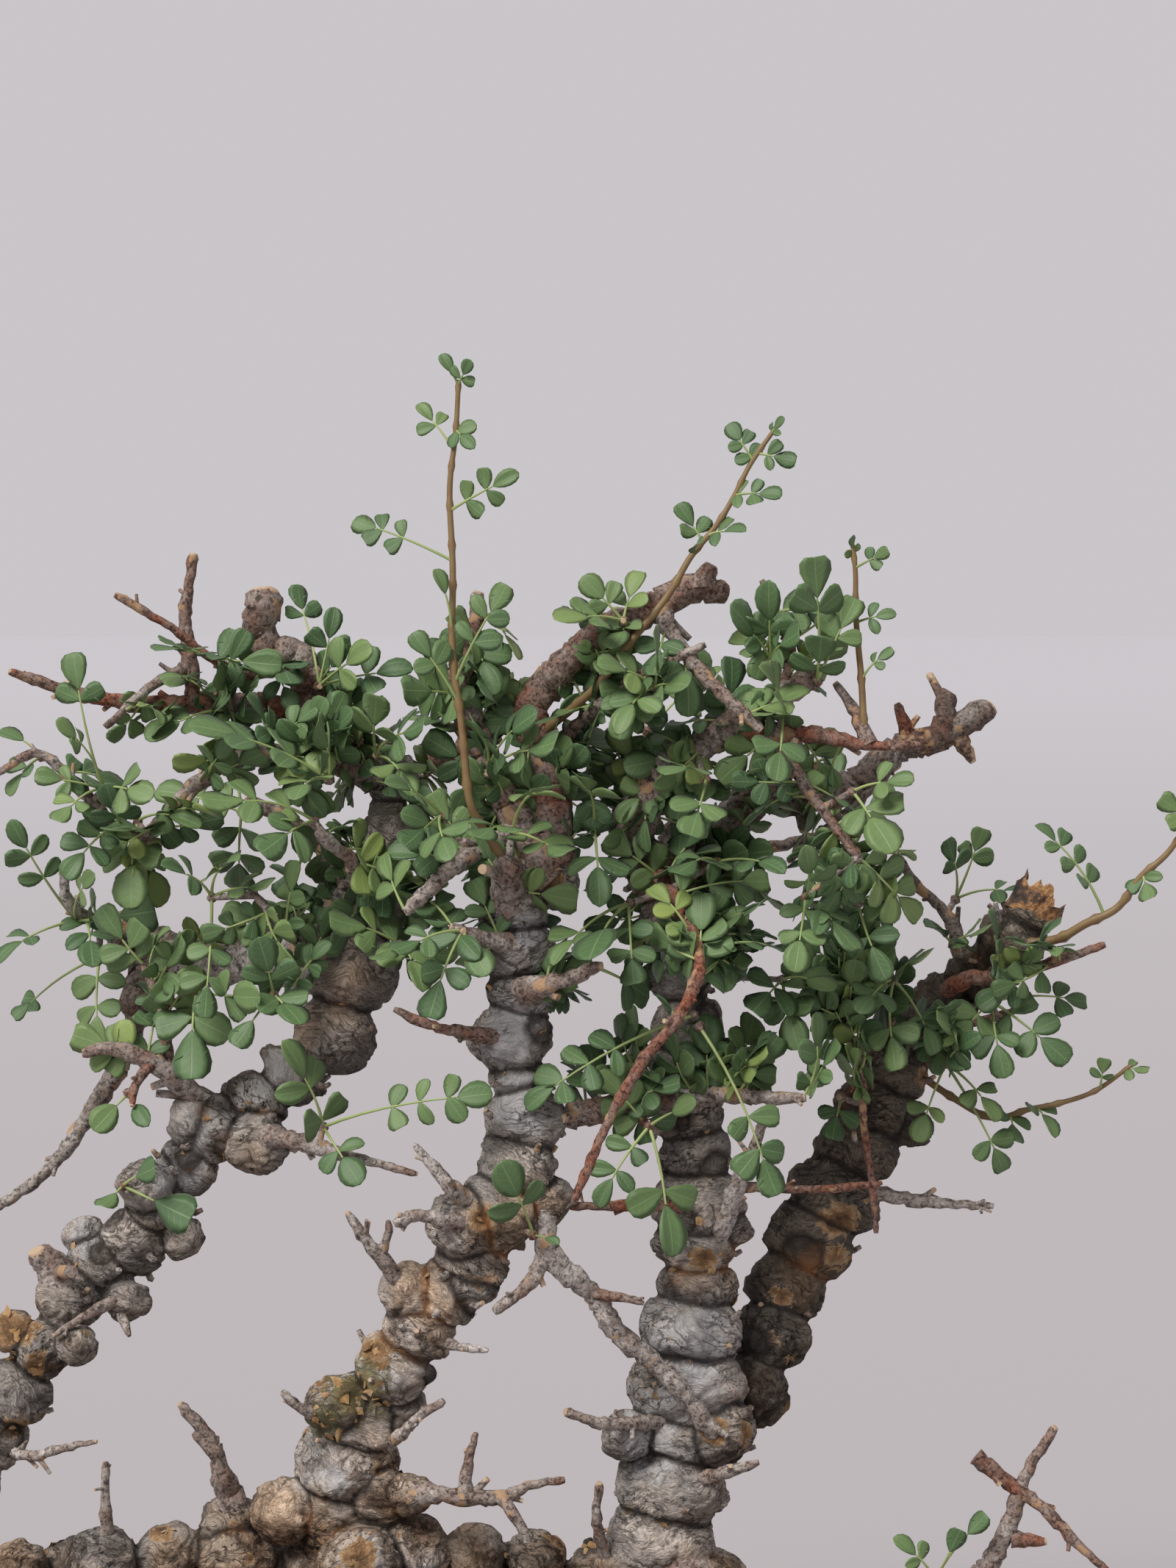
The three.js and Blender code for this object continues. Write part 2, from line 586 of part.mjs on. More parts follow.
// Leafy sprays: each grows from the nearest wood to its hub, where its leaves start.
// A leaf is [across, up, deep of its tip, leaflets, length of a leaflet].
const sprays = {
  // Left side
  left_high: {
    hub: [-165, 265, -8],
    leaves: [
      [-175, 311, -14, 3, 12], [-181, 288, -24, 3, 9], [-188, 269, -12, 3, 9], [-181, 252, -28, 3, 9],
      [-147, 262, -30, 3, 11],
    ],
  },
  left_trio: { hub: [-152, 252, -2], leaves: [[-155, 224, -14, 3, 15], [-134, 250, -16, 3, 12]] },
  left_mid: {
    hub: [-175, 224, 26],
    leaves: [
      [-196, 253, 8, 5, 11], [-142, 226, 14, 1, 17], [-201, 207, 12, 3, 11], [-170, 238, 0, 3, 9],
    ],
  },
  left_low: { hub: [-166, 208, 34], leaves: [[-166, 176, 20, 5, 12], [-195, 186, 28, 3, 8]] },
  left_inner: {
    hub: [-128, 228, -14],
    leaves: [
      [-131, 186, -30, 5, 11], [-118, 240, -40, 3, 12], [-106, 230, -30, 3, 11],
      [-146, 238, -34, 3, 11],
    ],
  },
  left_hanging: { hub: [-133, 196, -12], leaves: [[-134, 165, -24, 3, 17], [-114, 194, -34, 3, 13]] },
  left_across: { hub: [-93, 254, -26], leaves: [[-132, 258, -38, 5, 14], [-112, 242, -52, 3, 13]] },
  left_shoulder: {
    hub: [-88, 268, -16],
    leaves: [[-136, 286, -30, 5, 17], [-100, 262, -50, 3, 13], [-93, 288, -40, 3, 14]],
  },
  left_crown: {
    hub: [-72, 276, -6],
    leaves: [[-72, 297, -28, 3, 13], [-52, 285, -34, 3, 13], [-60, 262, -30, 3, 12]],
  },
  left_top: {
    hub: [-92, 300, 8],
    leaves: [[-86, 327, 4, 3, 11], [-73, 313, -6, 3, 12], [-60, 305, 2, 3, 12], [-100, 333, 22, 3, 9]],
  },
  left_far_top: {
    hub: [-122, 292, 10],
    leaves: [[-128, 306, -8, 1, 11], [-150, 280, 0, 3, 13], [-117, 276, 0, 3, 13]],
  },
  left_edge: { hub: [-186, 276, 0], leaves: [[-196, 262, -6, 3, 9], [-200, 284, 4, 1, 9]] },
  stem_side: {
    hub: [-64, 212, -22],
    leaves: [[-88, 220, -34, 5, 13], [-58, 194, -40, 3, 14], [-70, 205, -46, 1, 12]],
  },
  stem_low: {
    hub: [-90, 150, -26],
    leaves: [[-106, 179, -34, 5, 15], [-32, 161, -44, 7, 11], [-77, 130, -40, 3, 11]],
  },
  stem_front: {
    hub: [-106, 194, -26],
    leaves: [[-99, 181, -40, 3, 13], [-120, 182, -36, 1, 11], [-112, 214, -38, 3, 12]],
  },
  foot_shoot: {
    hub: [-158, 130, -28],
    leaves: [[-133, 118, -38, 1, 16], [-146, 136, -42, 1, 11], [-165, 119, -38, 1, 10]],
  },
  dead_twig_leaf: { hub: [-155, 163, -22], leaves: [[-149, 150, -30, 1, 10], [-168, 149, -26, 1, 11]] },
  left_back: {
    hub: [-116, 258, 64],
    leaves: [[-146, 262, 74, 5, 13], [-126, 286, 74, 3, 13], [-118, 232, 82, 5, 13]],
  },
  left_back_low: { hub: [-96, 244, 52], leaves: [[-78, 222, 62, 3, 13], [-106, 214, 70, 3, 13]] },
  // Middle
  middle_high: {
    hub: [-34, 270, -20],
    leaves: [[-40, 287, -52, 3, 12], [-18, 291, -46, 5, 12], [-8, 278, -48, 3, 13]],
  },
  middle_left: {
    hub: [-50, 256, -26],
    leaves: [[-64, 243, -42, 3, 12], [-46, 240, -56, 3, 12], [-68, 268, -48, 3, 11]],
  },
  middle_front: {
    hub: [-26, 250, -28],
    leaves: [[-38, 247, -60, 3, 13], [-6, 240, -56, 5, 12], [-12, 262, -64, 3, 13]],
  },
  middle_right: { hub: [2, 252, -12], leaves: [[-4, 268, -38, 3, 13], [4, 226, -40, 3, 14]] },
  middle_low: {
    hub: [14, 226, -18],
    leaves: [[1, 206, -56, 1, 19], [16, 197, -42, 5, 11], [-10, 204, -40, 3, 12]],
  },
  middle_side: {
    hub: [-44, 217, -40],
    leaves: [[-54, 186, -52, 5, 14], [-66, 206, -58, 3, 11], [-34, 200, -52, 1, 12]],
  },
  middle_across: { hub: [36, 188, -18], leaves: [[-22, 156, -36, 7, 12]] },
  middle_hanging: {
    hub: [22, 149, -26],
    leaves: [[27, 106, -38, 3, 17], [3, 122, -36, 5, 11], [38, 158, -36, 1, 10]],
  },
  middle_knob: { hub: [-20, 114, -38], leaves: [[-31, 139, -52, 3, 14], [-10, 110, -48, 1, 6]] },
  middle_top: {
    hub: [12, 322, -16],
    leaves: [[-12, 320, -30, 3, 13], [-2, 337, -16, 3, 10], [18, 338, -10, 3, 10]],
  },
  middle_back: {
    hub: [-34, 282, 60],
    leaves: [[-54, 300, 70, 3, 13], [-16, 296, 74, 3, 13], [-34, 256, 78, 5, 13]],
  },
  // Right
  right_fan: {
    hub: [22, 300, -18],
    leaves: [[18, 318, -38, 1, 18], [34, 300, -40, 3, 13], [10, 284, -40, 3, 12], [2, 306, -32, 3, 12]],
  },
  right_down: { hub: [38, 184, -20], leaves: [[63, 126, -32, 5, 13]] },
  right_front: { hub: [40, 268, -20], leaves: [[26, 270, -46, 3, 13], [34, 247, -54, 3, 13]] },
  right_middle: { hub: [44, 240, -14], leaves: [[30, 234, -36, 5, 12], [66, 238, -46, 3, 12]] },
  right_low: {
    hub: [46, 218, -18],
    leaves: [[30, 214, -34, 3, 13], [47, 196, -34, 5, 12], [62, 222, -42, 3, 13]],
  },
  right_outer: {
    hub: [74, 228, -26],
    leaves: [[90, 208, -36, 3, 14], [70, 202, -42, 5, 11], [74, 246, -46, 3, 12]],
  },
  right_edge: {
    hub: [92, 226, -14],
    leaves: [[92, 240, -34, 3, 12], [108, 232, -22, 3, 12], [102, 200, -26, 5, 12]],
  },
  right_skirt: {
    hub: [104, 200, 8],
    leaves: [
      [116, 208, -14, 3, 12], [92, 188, -22, 3, 11], [106, 168, -10, 3, 12], [118, 174, 2, 3, 11],
    ],
  },
  right_under: {
    hub: [66, 200, -6],
    leaves: [[54, 186, -22, 3, 13], [72, 176, -18, 3, 13], [84, 194, -22, 3, 12]],
  },
  leaning_leaf: { hub: [86, 160, 16], leaves: [[82, 144, 6, 3, 10]] },
  bright_leaf: { hub: [90, 264, -24], leaves: [[103, 242, -38, 3, 15], [112, 266, -34, 3, 10]] },
  right_tuft: {
    hub: [64, 308, -8],
    leaves: [[46, 326, -20, 3, 14], [62, 336, -20, 3, 14], [74, 318, -26, 3, 12]],
  },
  right_spike: {
    hub: [78, 302, -16],
    leaves: [[76, 344, -22, 3, 14], [91, 330, -14, 3, 12], [80, 320, -34, 3, 13]],
  },
  right_inner: { hub: [66, 290, -18], leaves: [[56, 306, -40, 3, 13], [64, 268, -44, 3, 12]] },
  right_back: {
    hub: [80, 250, 72],
    leaves: [[104, 262, 82, 5, 13], [84, 276, 84, 3, 13], [88, 224, 84, 5, 13]],
  },
  crown_back: {
    hub: [20, 286, 64],
    leaves: [[2, 300, 74, 3, 13], [38, 304, 78, 3, 13], [22, 262, 82, 5, 13]],
  },
  stump_leaves: { hub: [124, 212, 34], leaves: [[114, 216, 18, 3, 14], [138, 214, 18, 3, 11]] },
  far_right: {
    hub: [138, 190, 26],
    leaves: [[163, 172, 14, 5, 12], [142, 166, 6, 3, 12], [124, 178, 12, 3, 11], [170, 192, 28, 3, 9]],
  },
  far_right_low: {
    hub: [122, 172, 22],
    leaves: [[139, 152, 12, 3, 10], [112, 144, 12, 3, 10], [142, 134, 18, 3, 10]],
  },
  far_right_high: {
    hub: [124, 226, 52],
    leaves: [[122, 248, 42, 3, 9], [134, 252, 52, 3, 9], [150, 228, 46, 3, 9]],
  },
  low_right: {
    hub: [118, -4, -18],
    leaves: [[104, 10, -22, 3, 9], [127, 14, -26, 1, 9], [136, 18, -24, 1, 9]],
  },
};

// Long leafy shoots: the run of the shoot, its radii at the foot and at the tip, and its leaves,
// each with the share of the shoot's length at which it starts
const shoots = {
  shoot_tall: {
    run: [
      [-28, 240, -32], [-36, 252, -40], [-40, 260, -44], [-43, 287, -44], [-46, 309, -42],
      [-46, 340, -38], [-47, 368, -34], [-45, 386, -32], [-44, 404, -30],
    ],
    from: 1.5, to: 0.8,
    leaves: [
      [0.99, -39, 411, -34, 3, 6], [0.99, -50, 412, -28, 1, 7], [0.86, -58, 395, -26, 3, 8],
      [0.9, -38, 380, -38, 3, 8], [0.74, -24, 372, -40, 5, 9], [0.64, -80, 356, -28, 5, 9],
      [0.5, -52, 340, -44, 1, 9], [0.4, -27, 334, -44, 5, 10], [0.36, -60, 318, -44, 3, 10],
    ],
  },
  shoot_leaning: {
    run: [
      [-17, 283, -7], [2, 299, -18], [13, 313, -18], [28, 332, -16], [35, 344, -15], [44, 355, -14],
      [50, 365, -13], [55, 375, -12], [64, 388, -11],
    ],
    from: 1.6, to: 0.8,
    leaves: [
      [0.98, 67, 391, -14, 3, 5], [0.9, 48, 389, -8, 5, 7], [0.92, 71, 376, -14, 3, 8],
      [0.8, 66, 364, -20, 5, 8], [0.68, 54, 350, -24, 3, 9], [0.66, 30, 360, -10, 3, 9],
      [0.62, 40, 347, -24, 1, 10],
    ],
  },
  shoot_right: {
    run: [[94, 282, -18], [93, 302, -14], [92, 313, -12], [91, 326, -10], [91, 338, -9], [90, 348, -8]],
    from: 1.3, to: 0.8,
    leaves: [
      [0.97, 88, 351, -10, 3, 5], [0.88, 103, 346, -12, 3, 6], [0.6, 105, 324, -14, 3, 7],
      [0.3, 104, 312, -16, 3, 6],
    ],
  },
  shoot_far: {
    run: [
      [144, 212, 34], [160, 214, 26], [169, 219, 22], [180, 224.5, 20], [188, 235, 18], [197, 243, 17],
      [210, 262, 15],
    ],
    from: 1.8, to: 0.8,
    leaves: [
      [0.97, 216, 262, 12, 3, 8], [0.9, 194, 262, 18, 5, 9], [0.4, 152, 253, 24, 7, 9],
      [0.62, 192, 226, 12, 3, 8],
    ],
  },
  shoot_low: {
    run: [[107, 172, 38], [124, 160, 34], [138, 153, 30], [150, 156, 28], [160, 158, 26], [172, 162, 25], [185, 171, 24]],
    from: 1.4, to: 0.7,
    leaves: [
      [0.98, 191, 168, 22, 3, 6], [0.85, 176, 174, 20, 3, 6], [0.59, 158, 146, 20, 3, 10],
      [0.48, 140, 142, 24, 3, 9],
    ],
  },
};

const bladeThickness = 0.7;
const ribHalfWidth = 0.6;
const leafletHalfWidth = 0.37;
const leafletWidest = 0.62;
const leafletSpread = THREE.MathUtils.degToRad(64);
const leafletSpacing = 0.86;
const endStalk = 0.28;
const leastPetiole = 0.15;
const leastLength = 1.1;
const leafFold = 0.22;
const leafFace = new THREE.Vector3(0, -0.75, 0.65);

// The outline of a compound leaf: a rib with pairs of leaflets and one at its end, cut from one blade
function leafOutline(leaflets, size, length, grow) {
  const ribHalf = ribHalfWidth + grow;
  const pairs = (leaflets - 1) / 2;
  const spacing = leafletSpacing * size;
  const stalk = pairs > 0 ? endStalk * size : 0;
  const lastPair = length - size - stalk;
  const firstPair = Math.max(lastPair - (pairs - 1) * spacing, leastPetiole * size);
  const out = [Math.sin(leafletSpread), Math.cos(leafletSpread)];
  const side = [[ribHalf, 0]];
  for (let k = 0; k < pairs; k++) {
    const node = firstPair + k * spacing;
    const at = (along, aside) => [
      ribHalf + size * (along * out[0] + aside * out[1]),
      node + size * (along * out[1] - aside * out[0]),
    ];
    side.push([ribHalf, node - ribHalf]);
    side.push(at(leafletWidest, leafletHalfWidth), at(1, 0), at(leafletWidest, -leafletHalfWidth));
    side.push([ribHalf, node + ribHalf]);
  }
  const base = length - size;
  if (pairs === 0) side.push([ribHalf, base]);
  side.push([leafletHalfWidth * size, base + leafletWidest * size]);
  return [...side, [0, length], ...[...side].reverse().map(([x, y]) => [-x, y])];
}

// A compound leaf from one point to another, arched along its rib and turned about it by the roll
function compoundLeaf({ start, end, leaflets, size, roll, arch }, grow) {
  const run = end.clone().sub(start);
  const length = Math.max(run.length(), size * leastLength);
  const outline = leafOutline(leaflets, size + grow, length + grow, grow);
  const shape = new THREE.Shape(outline.map(([x, y]) => new THREE.Vector2(x, y)));
  const depth = bladeThickness + 2 * grow;
  const geometry = new THREE.ExtrudeGeometry(shape, { depth, bevelEnabled: false });
  geometry.translate(0, 0, -grow);
  const position = geometry.attributes.position;
  for (let i = 0; i < position.count; i++) {
    const along = position.getY(i) / length;
    const lift = arch * length * 4 * along * (1 - along) - leafFold * Math.abs(position.getX(i));
    position.setZ(i, position.getZ(i) + lift);
  }
  const rib = run.clone().normalize();
  const face = leafFace.clone().applyAxisAngle(rib, roll);
  const across = rib.clone().cross(face).normalize();
  const normal = across.clone().cross(rib);
  geometry.applyMatrix4(new THREE.Matrix4().makeBasis(across, rib, normal).setPosition(start));
  return solidOf(geometry);
}

// The wood nearest to a point, as a point inside that wood
const woodPoints = [];
for (const swelling of Object.values(stems).flat()) {
  woodPoints.push([seen(swelling), swelling[3]]);
}
for (const { run, from, to } of branches) {
  const curve = new THREE.CatmullRomCurve3(run.map(seen), false, 'centripetal');
  const steps = 6 * (run.length - 1);
  curve.getSpacedPoints(steps).forEach((point, i) => {
    if (i > 1) woodPoints.push([point, from + ((to - from) * i) / steps]);
  });
}

function nearestWood(point) {
  let best = woodPoints[0];
  let least = Infinity;
  for (const candidate of woodPoints) {
    const away = candidate[0].distanceTo(point) - candidate[1];
    if (away < least) {
      least = away;
      best = candidate;
    }
  }
  return best;
}

const spurRadius = 1.1;
const spurSides = 3;
const leastSpur = 4.5;
const towardsViewer = new THREE.Vector3(0, -0.8, 0.6);
const budRadius = 2.2;

// The bud at the end of a spur, which the leaf ribs come out of
function bud(centre, grow) {
  const round = new THREE.OctahedronGeometry(budRadius + grow);
  round.translate(centre.x, centre.y, centre.z);
  return solidOf(round);
}

// Everything placed so far, a little fatter, for the next leaves to keep clear of
let standing = makeWood(seatGap);
let leafSeed = 1000;

const triesPerLeaf = 9;
const straightTries = 2;
const bendStep = 1.6;
const rollRange = 1.1;
const leastArch = 0.06;
const archRange = 0.1;
const manyLeaflets = 5;
const fewLeaflets = 3;
const largeLeaflet = 14;
const broadLeaflet = 1.25;

// How many of a leaf's leaflets are cut: all ribs stay, the small leaves with one broad leaflet each
function keptLeaflets(leaflets, size) {
  const large = leaflets >= manyLeaflets || size >= largeLeaflet;
  return large ? Math.min(leaflets, fewLeaflets) : 1;
}

// The leaf turned about its rib, or bent aside, until it clears what already stands there
function clearLeaf(start, tip, leaflets, size, draw) {
  const kept = keptLeaflets(leaflets, size);
  let best = null;
  let least = Infinity;
  for (let i = 0; i < triesPerLeaf && least > 0; i++) {
    const bend = i < straightTries ? 0 : bendStep * i;
    const aside = new THREE.Vector3(draw() - 0.5, draw() - 0.5, draw() - 0.5);
    aside.multiplyScalar(bend);
    const plan = {
      start,
      end: tip.clone().add(aside),
      leaflets: kept,
      size: kept < leaflets ? size * broadLeaflet : size,
      roll: rollRange * (draw() - 0.5) * (1 + i / 4),
      arch: leastArch + archRange * draw(),
    };
    const leaf = compoundLeaf(plan, 0);
    const overlap = leaf.intersect(standing);
    const crossing = overlap.volume();
    if (crossing < least) {
      least = crossing;
      best = plan;
    }
    overlap.delete();
    leaf.delete();
  }
  return best;
}

const colors = {
  bark: 0x8c8378,
  pot: 0x6b625b,
  soil: 0x5a4a3a,
  leaf: 0x4f7350,
  shoot: 0x6f6a3e,
};

place('wood', makeWood(0), colors.bark, 0.85);
place('pot', makePot(), colors.pot, 0.6);
place('soil', makeSoil(standing), colors.soil, 0.95);

// A leafy solid less what stands there already, which then counts as standing too
function settle(name, build, color) {
  const whole = build(0);
  const cut = largest(whole.subtract(standing));
  place(name, cut, color, 0.6);
  const next = standing.add(build(leafGap));
  next.numTri();
  standing.delete();
  standing = next;
}

function planLeaves(tips, startOf) {
  return tips.map(({ share, tip }) => {
    const draw = drawsFrom(leafSeed++);
    const [, , , leaflets, size] = tip;
    return clearLeaf(startOf(share), seen(tip), leaflets, size, draw);
  });
}

// A spray on its spur: the hub is held off the wood where it would be too near
function spray(name, { hub, leaves }) {
  const centre = seen(hub);
  const [root, radius] = nearestWood(centre);
  const away = centre.clone().sub(root);
  if (away.length() < radius + leastSpur) {
    if (away.length() < 1) away.copy(towardsViewer);
    centre.copy(root).addScaledVector(away.normalize(), radius + leastSpur);
  }
  const path = new StationPath([root, centre]);
  const plans = planLeaves(leaves.map((tip) => ({ tip })), () => centre);
  settle(name, (grow) => joined([
    bodyAlong(path, [root, centre], [spurRadius + grow, spurRadius + grow], spurSides),
    bud(centre, grow),
    ...plans.map((plan) => compoundLeaf(plan, grow)),
  ]), colors.leaf);
}

// A long shoot: it grows out of the wood at the first point of its run
function shoot(name, { run, from, to, leaves }) {
  const curve = new THREE.CatmullRomCurve3(run.map(seen), false, 'centripetal');
  const tips = leaves.map(([share, ...tip]) => ({ share, tip }));
  const plans = planLeaves(tips, (share) => curve.getPointAt(share));
  settle(name, (grow) => joined([
    limb({ run, from, to }, grow),
    ...plans.map((plan) => compoundLeaf(plan, grow)),
  ]), colors.shoot);
}

Object.entries(shoots).forEach(([name, plan]) => shoot(name, plan));
Object.entries(sprays).forEach(([name, plan]) => spray(name, plan));

export default group;
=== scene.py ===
import json
import math
import bmesh
import bpy
import numpy as np
from mathutils import Matrix, Vector, noise

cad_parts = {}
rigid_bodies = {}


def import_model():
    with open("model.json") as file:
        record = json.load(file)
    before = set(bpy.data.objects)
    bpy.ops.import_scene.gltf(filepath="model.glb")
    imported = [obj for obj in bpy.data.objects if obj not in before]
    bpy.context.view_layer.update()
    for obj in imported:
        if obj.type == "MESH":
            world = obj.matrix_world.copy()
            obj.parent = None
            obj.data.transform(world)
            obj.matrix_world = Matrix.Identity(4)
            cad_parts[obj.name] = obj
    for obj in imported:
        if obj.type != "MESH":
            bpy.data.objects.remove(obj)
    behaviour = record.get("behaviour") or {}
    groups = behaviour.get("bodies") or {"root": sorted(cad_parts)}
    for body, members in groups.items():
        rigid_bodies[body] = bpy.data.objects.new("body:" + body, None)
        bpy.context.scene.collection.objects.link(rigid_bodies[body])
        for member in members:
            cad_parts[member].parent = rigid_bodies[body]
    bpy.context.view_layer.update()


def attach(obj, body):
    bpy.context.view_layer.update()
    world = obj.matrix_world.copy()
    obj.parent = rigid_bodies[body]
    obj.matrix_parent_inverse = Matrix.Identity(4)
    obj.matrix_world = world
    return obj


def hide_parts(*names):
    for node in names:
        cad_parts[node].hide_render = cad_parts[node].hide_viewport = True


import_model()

# Commiphora bonsai in its pot. The plant is laid out as it is seen from the front, in millimetres:
# across from the middle of the view, up from its lower edge, and depth behind the middle plane.
mm = 0.001
frontView = {
    "distance": 1500.0,
    "tilt": math.radians(4),
    "middle": np.array([55.0, 12.0, 386.0]),
    "width": 400.0,
    "height": 533.25,
}

stems = {  # swellings of each stem: across, up, deep, radius
    "trunk": [
        (-222, -9, 2, 13), (-205, -13, 2, 20), (-174, -12, 0, 21), (-143, -13, -2, 20),
        (-112, -12, 0, 22), (-81, -12, -3, 21), (-50, -13, 0, 20), (-20, -12, 2, 19),
        (10, -12, 0, 21), (38, -12, 0, 19), (54, -14, -1, 12),
    ],
    "left": [
        (-211, -8, 2, 16), (-219, 14, 0, 14), (-212, 31, -4, 12.5), (-203, 45, -8, 12),
        (-194, 60, -10, 11.5), (-185, 75, -12, 10.5), (-176, 92, -9, 11.5), (-166, 103, -6, 10.5),
        (-154, 112, -6, 11.5), (-146, 125, -9, 10.5), (-136, 137, -7, 10.5), (-127, 149, -8, 11.5),
        (-114, 158, -4, 11), (-100, 168, -2, 10.5), (-86, 182, -2, 14), (-80, 203, 1, 15.5),
        (-75, 224, 5, 12), (-69, 248, 8, 10), (-68, 272, 8, 8.5),
    ],
    "middle": [
        (-86, 2, -4, 18), (-84, 20, -8, 18), (-82, 36, -12, 17), (-77, 52, -17, 14),
        (-66, 68, -21, 12.5), (-57, 82, -23, 12), (-48, 94, -24, 12), (-39, 107, -26, 12.5),
        (-31, 121, -27, 14), (-24, 137, -25, 13), (-21, 152, -23, 13), (-24, 168, -21, 10),
        (-26, 180, -20, 13.5), (-23, 195, -19, 11), (-24, 210, -18, 12), (-25, 224, -17, 11.5),
        (-22, 236, -16, 8),
    ],
    "right": [
        (22, -6, 0, 18), (24, 10, 0, 19), (28, 28, 0, 18.5), (32, 46, 1, 17), (34, 62, 2, 19.5),
        (35, 80, 2, 17), (37, 96, 3, 13.5), (37, 111, 3, 14), (37, 124, 3, 15.5),
        (37, 140, 4, 12.5), (34, 154, 5, 12), (33, 169, 5, 12.5), (34, 184, 5, 12),
        (32, 202, 6, 11), (28, 220, 6, 10.5), (22, 237, 6, 10), (15, 254, 4, 8.5),
    ],
    "leaning": [
        (43, 48, 10, 13), (56, 62, 18, 12), (63, 80, 22, 13), (68, 96, 26, 13.5), (76, 112, 29, 15),
        (84, 127, 31, 15.5), (91, 142, 34, 14.5), (97, 156, 36, 13.5), (103, 169, 38, 12.5),
        (111, 181, 41, 12), (121, 191, 42, 11.5), (132, 201, 42, 11), (143, 212, 40, 12),
        (149, 221, 40, 9),
    ],
}
knobs = [
    (-195, 80, -12, 8), (-174, 76, -20, 7.5), (-157, 91, -12, 8), (-171, 113, -2, 7.5),
    (-138, 112, -10, 7.5), (-150, 130, -16, 9.5), (-113, 144, -12, 11.5), (-133, 151, -8, 10),
    (-103, 19, -16, 11.5), (-70, 24, -20, 11), (-66, 54, -16, 10.5), (-84, 56, -22, 11.5),
    (-60, 94, -24, 11), (-41, 97, -26, 10.5), (-42, 117, -31, 12.5), (-15, 125, -24, 9.5),
    (-13, 233, -12, 9.5), (-61, 25, -28, 8), (14, 45, -8, 9.5), (43, 47, -4, 13.5), (49, 115, 0, 7),
    (60, 56, 20, 9), (110, 150, 34, 8), (-145, 208, 42, 10), (-157, 217, 45, 8),
    (-194, -1, -14, 11), (-165, 3, -18, 12.5), (-143, 5, -14, 11.5), (-121, 14, -8, 11.5),
    (-120, 2, -14, 13), (-77, 1, -30, 14), (-61, 6, -20, 13), (-39, 4, -14, 11), (-18, 4, -12, 10),
]
roots = [  # first radius, last radius, then the points
    (10, 5, (-118, -12, -10), (-112, -24, -40), (-104, -38, -58)),
    (9, 5, (-60, -12, -10), (-50, -26, -38), (-44, -40, -52)),
    (12, 6, (30, -6, -8), (38, -24, -34), (48, -40, -50)),
    (11, 5, (36, -6, 8), (52, -24, 26), (62, -40, 38)),
]
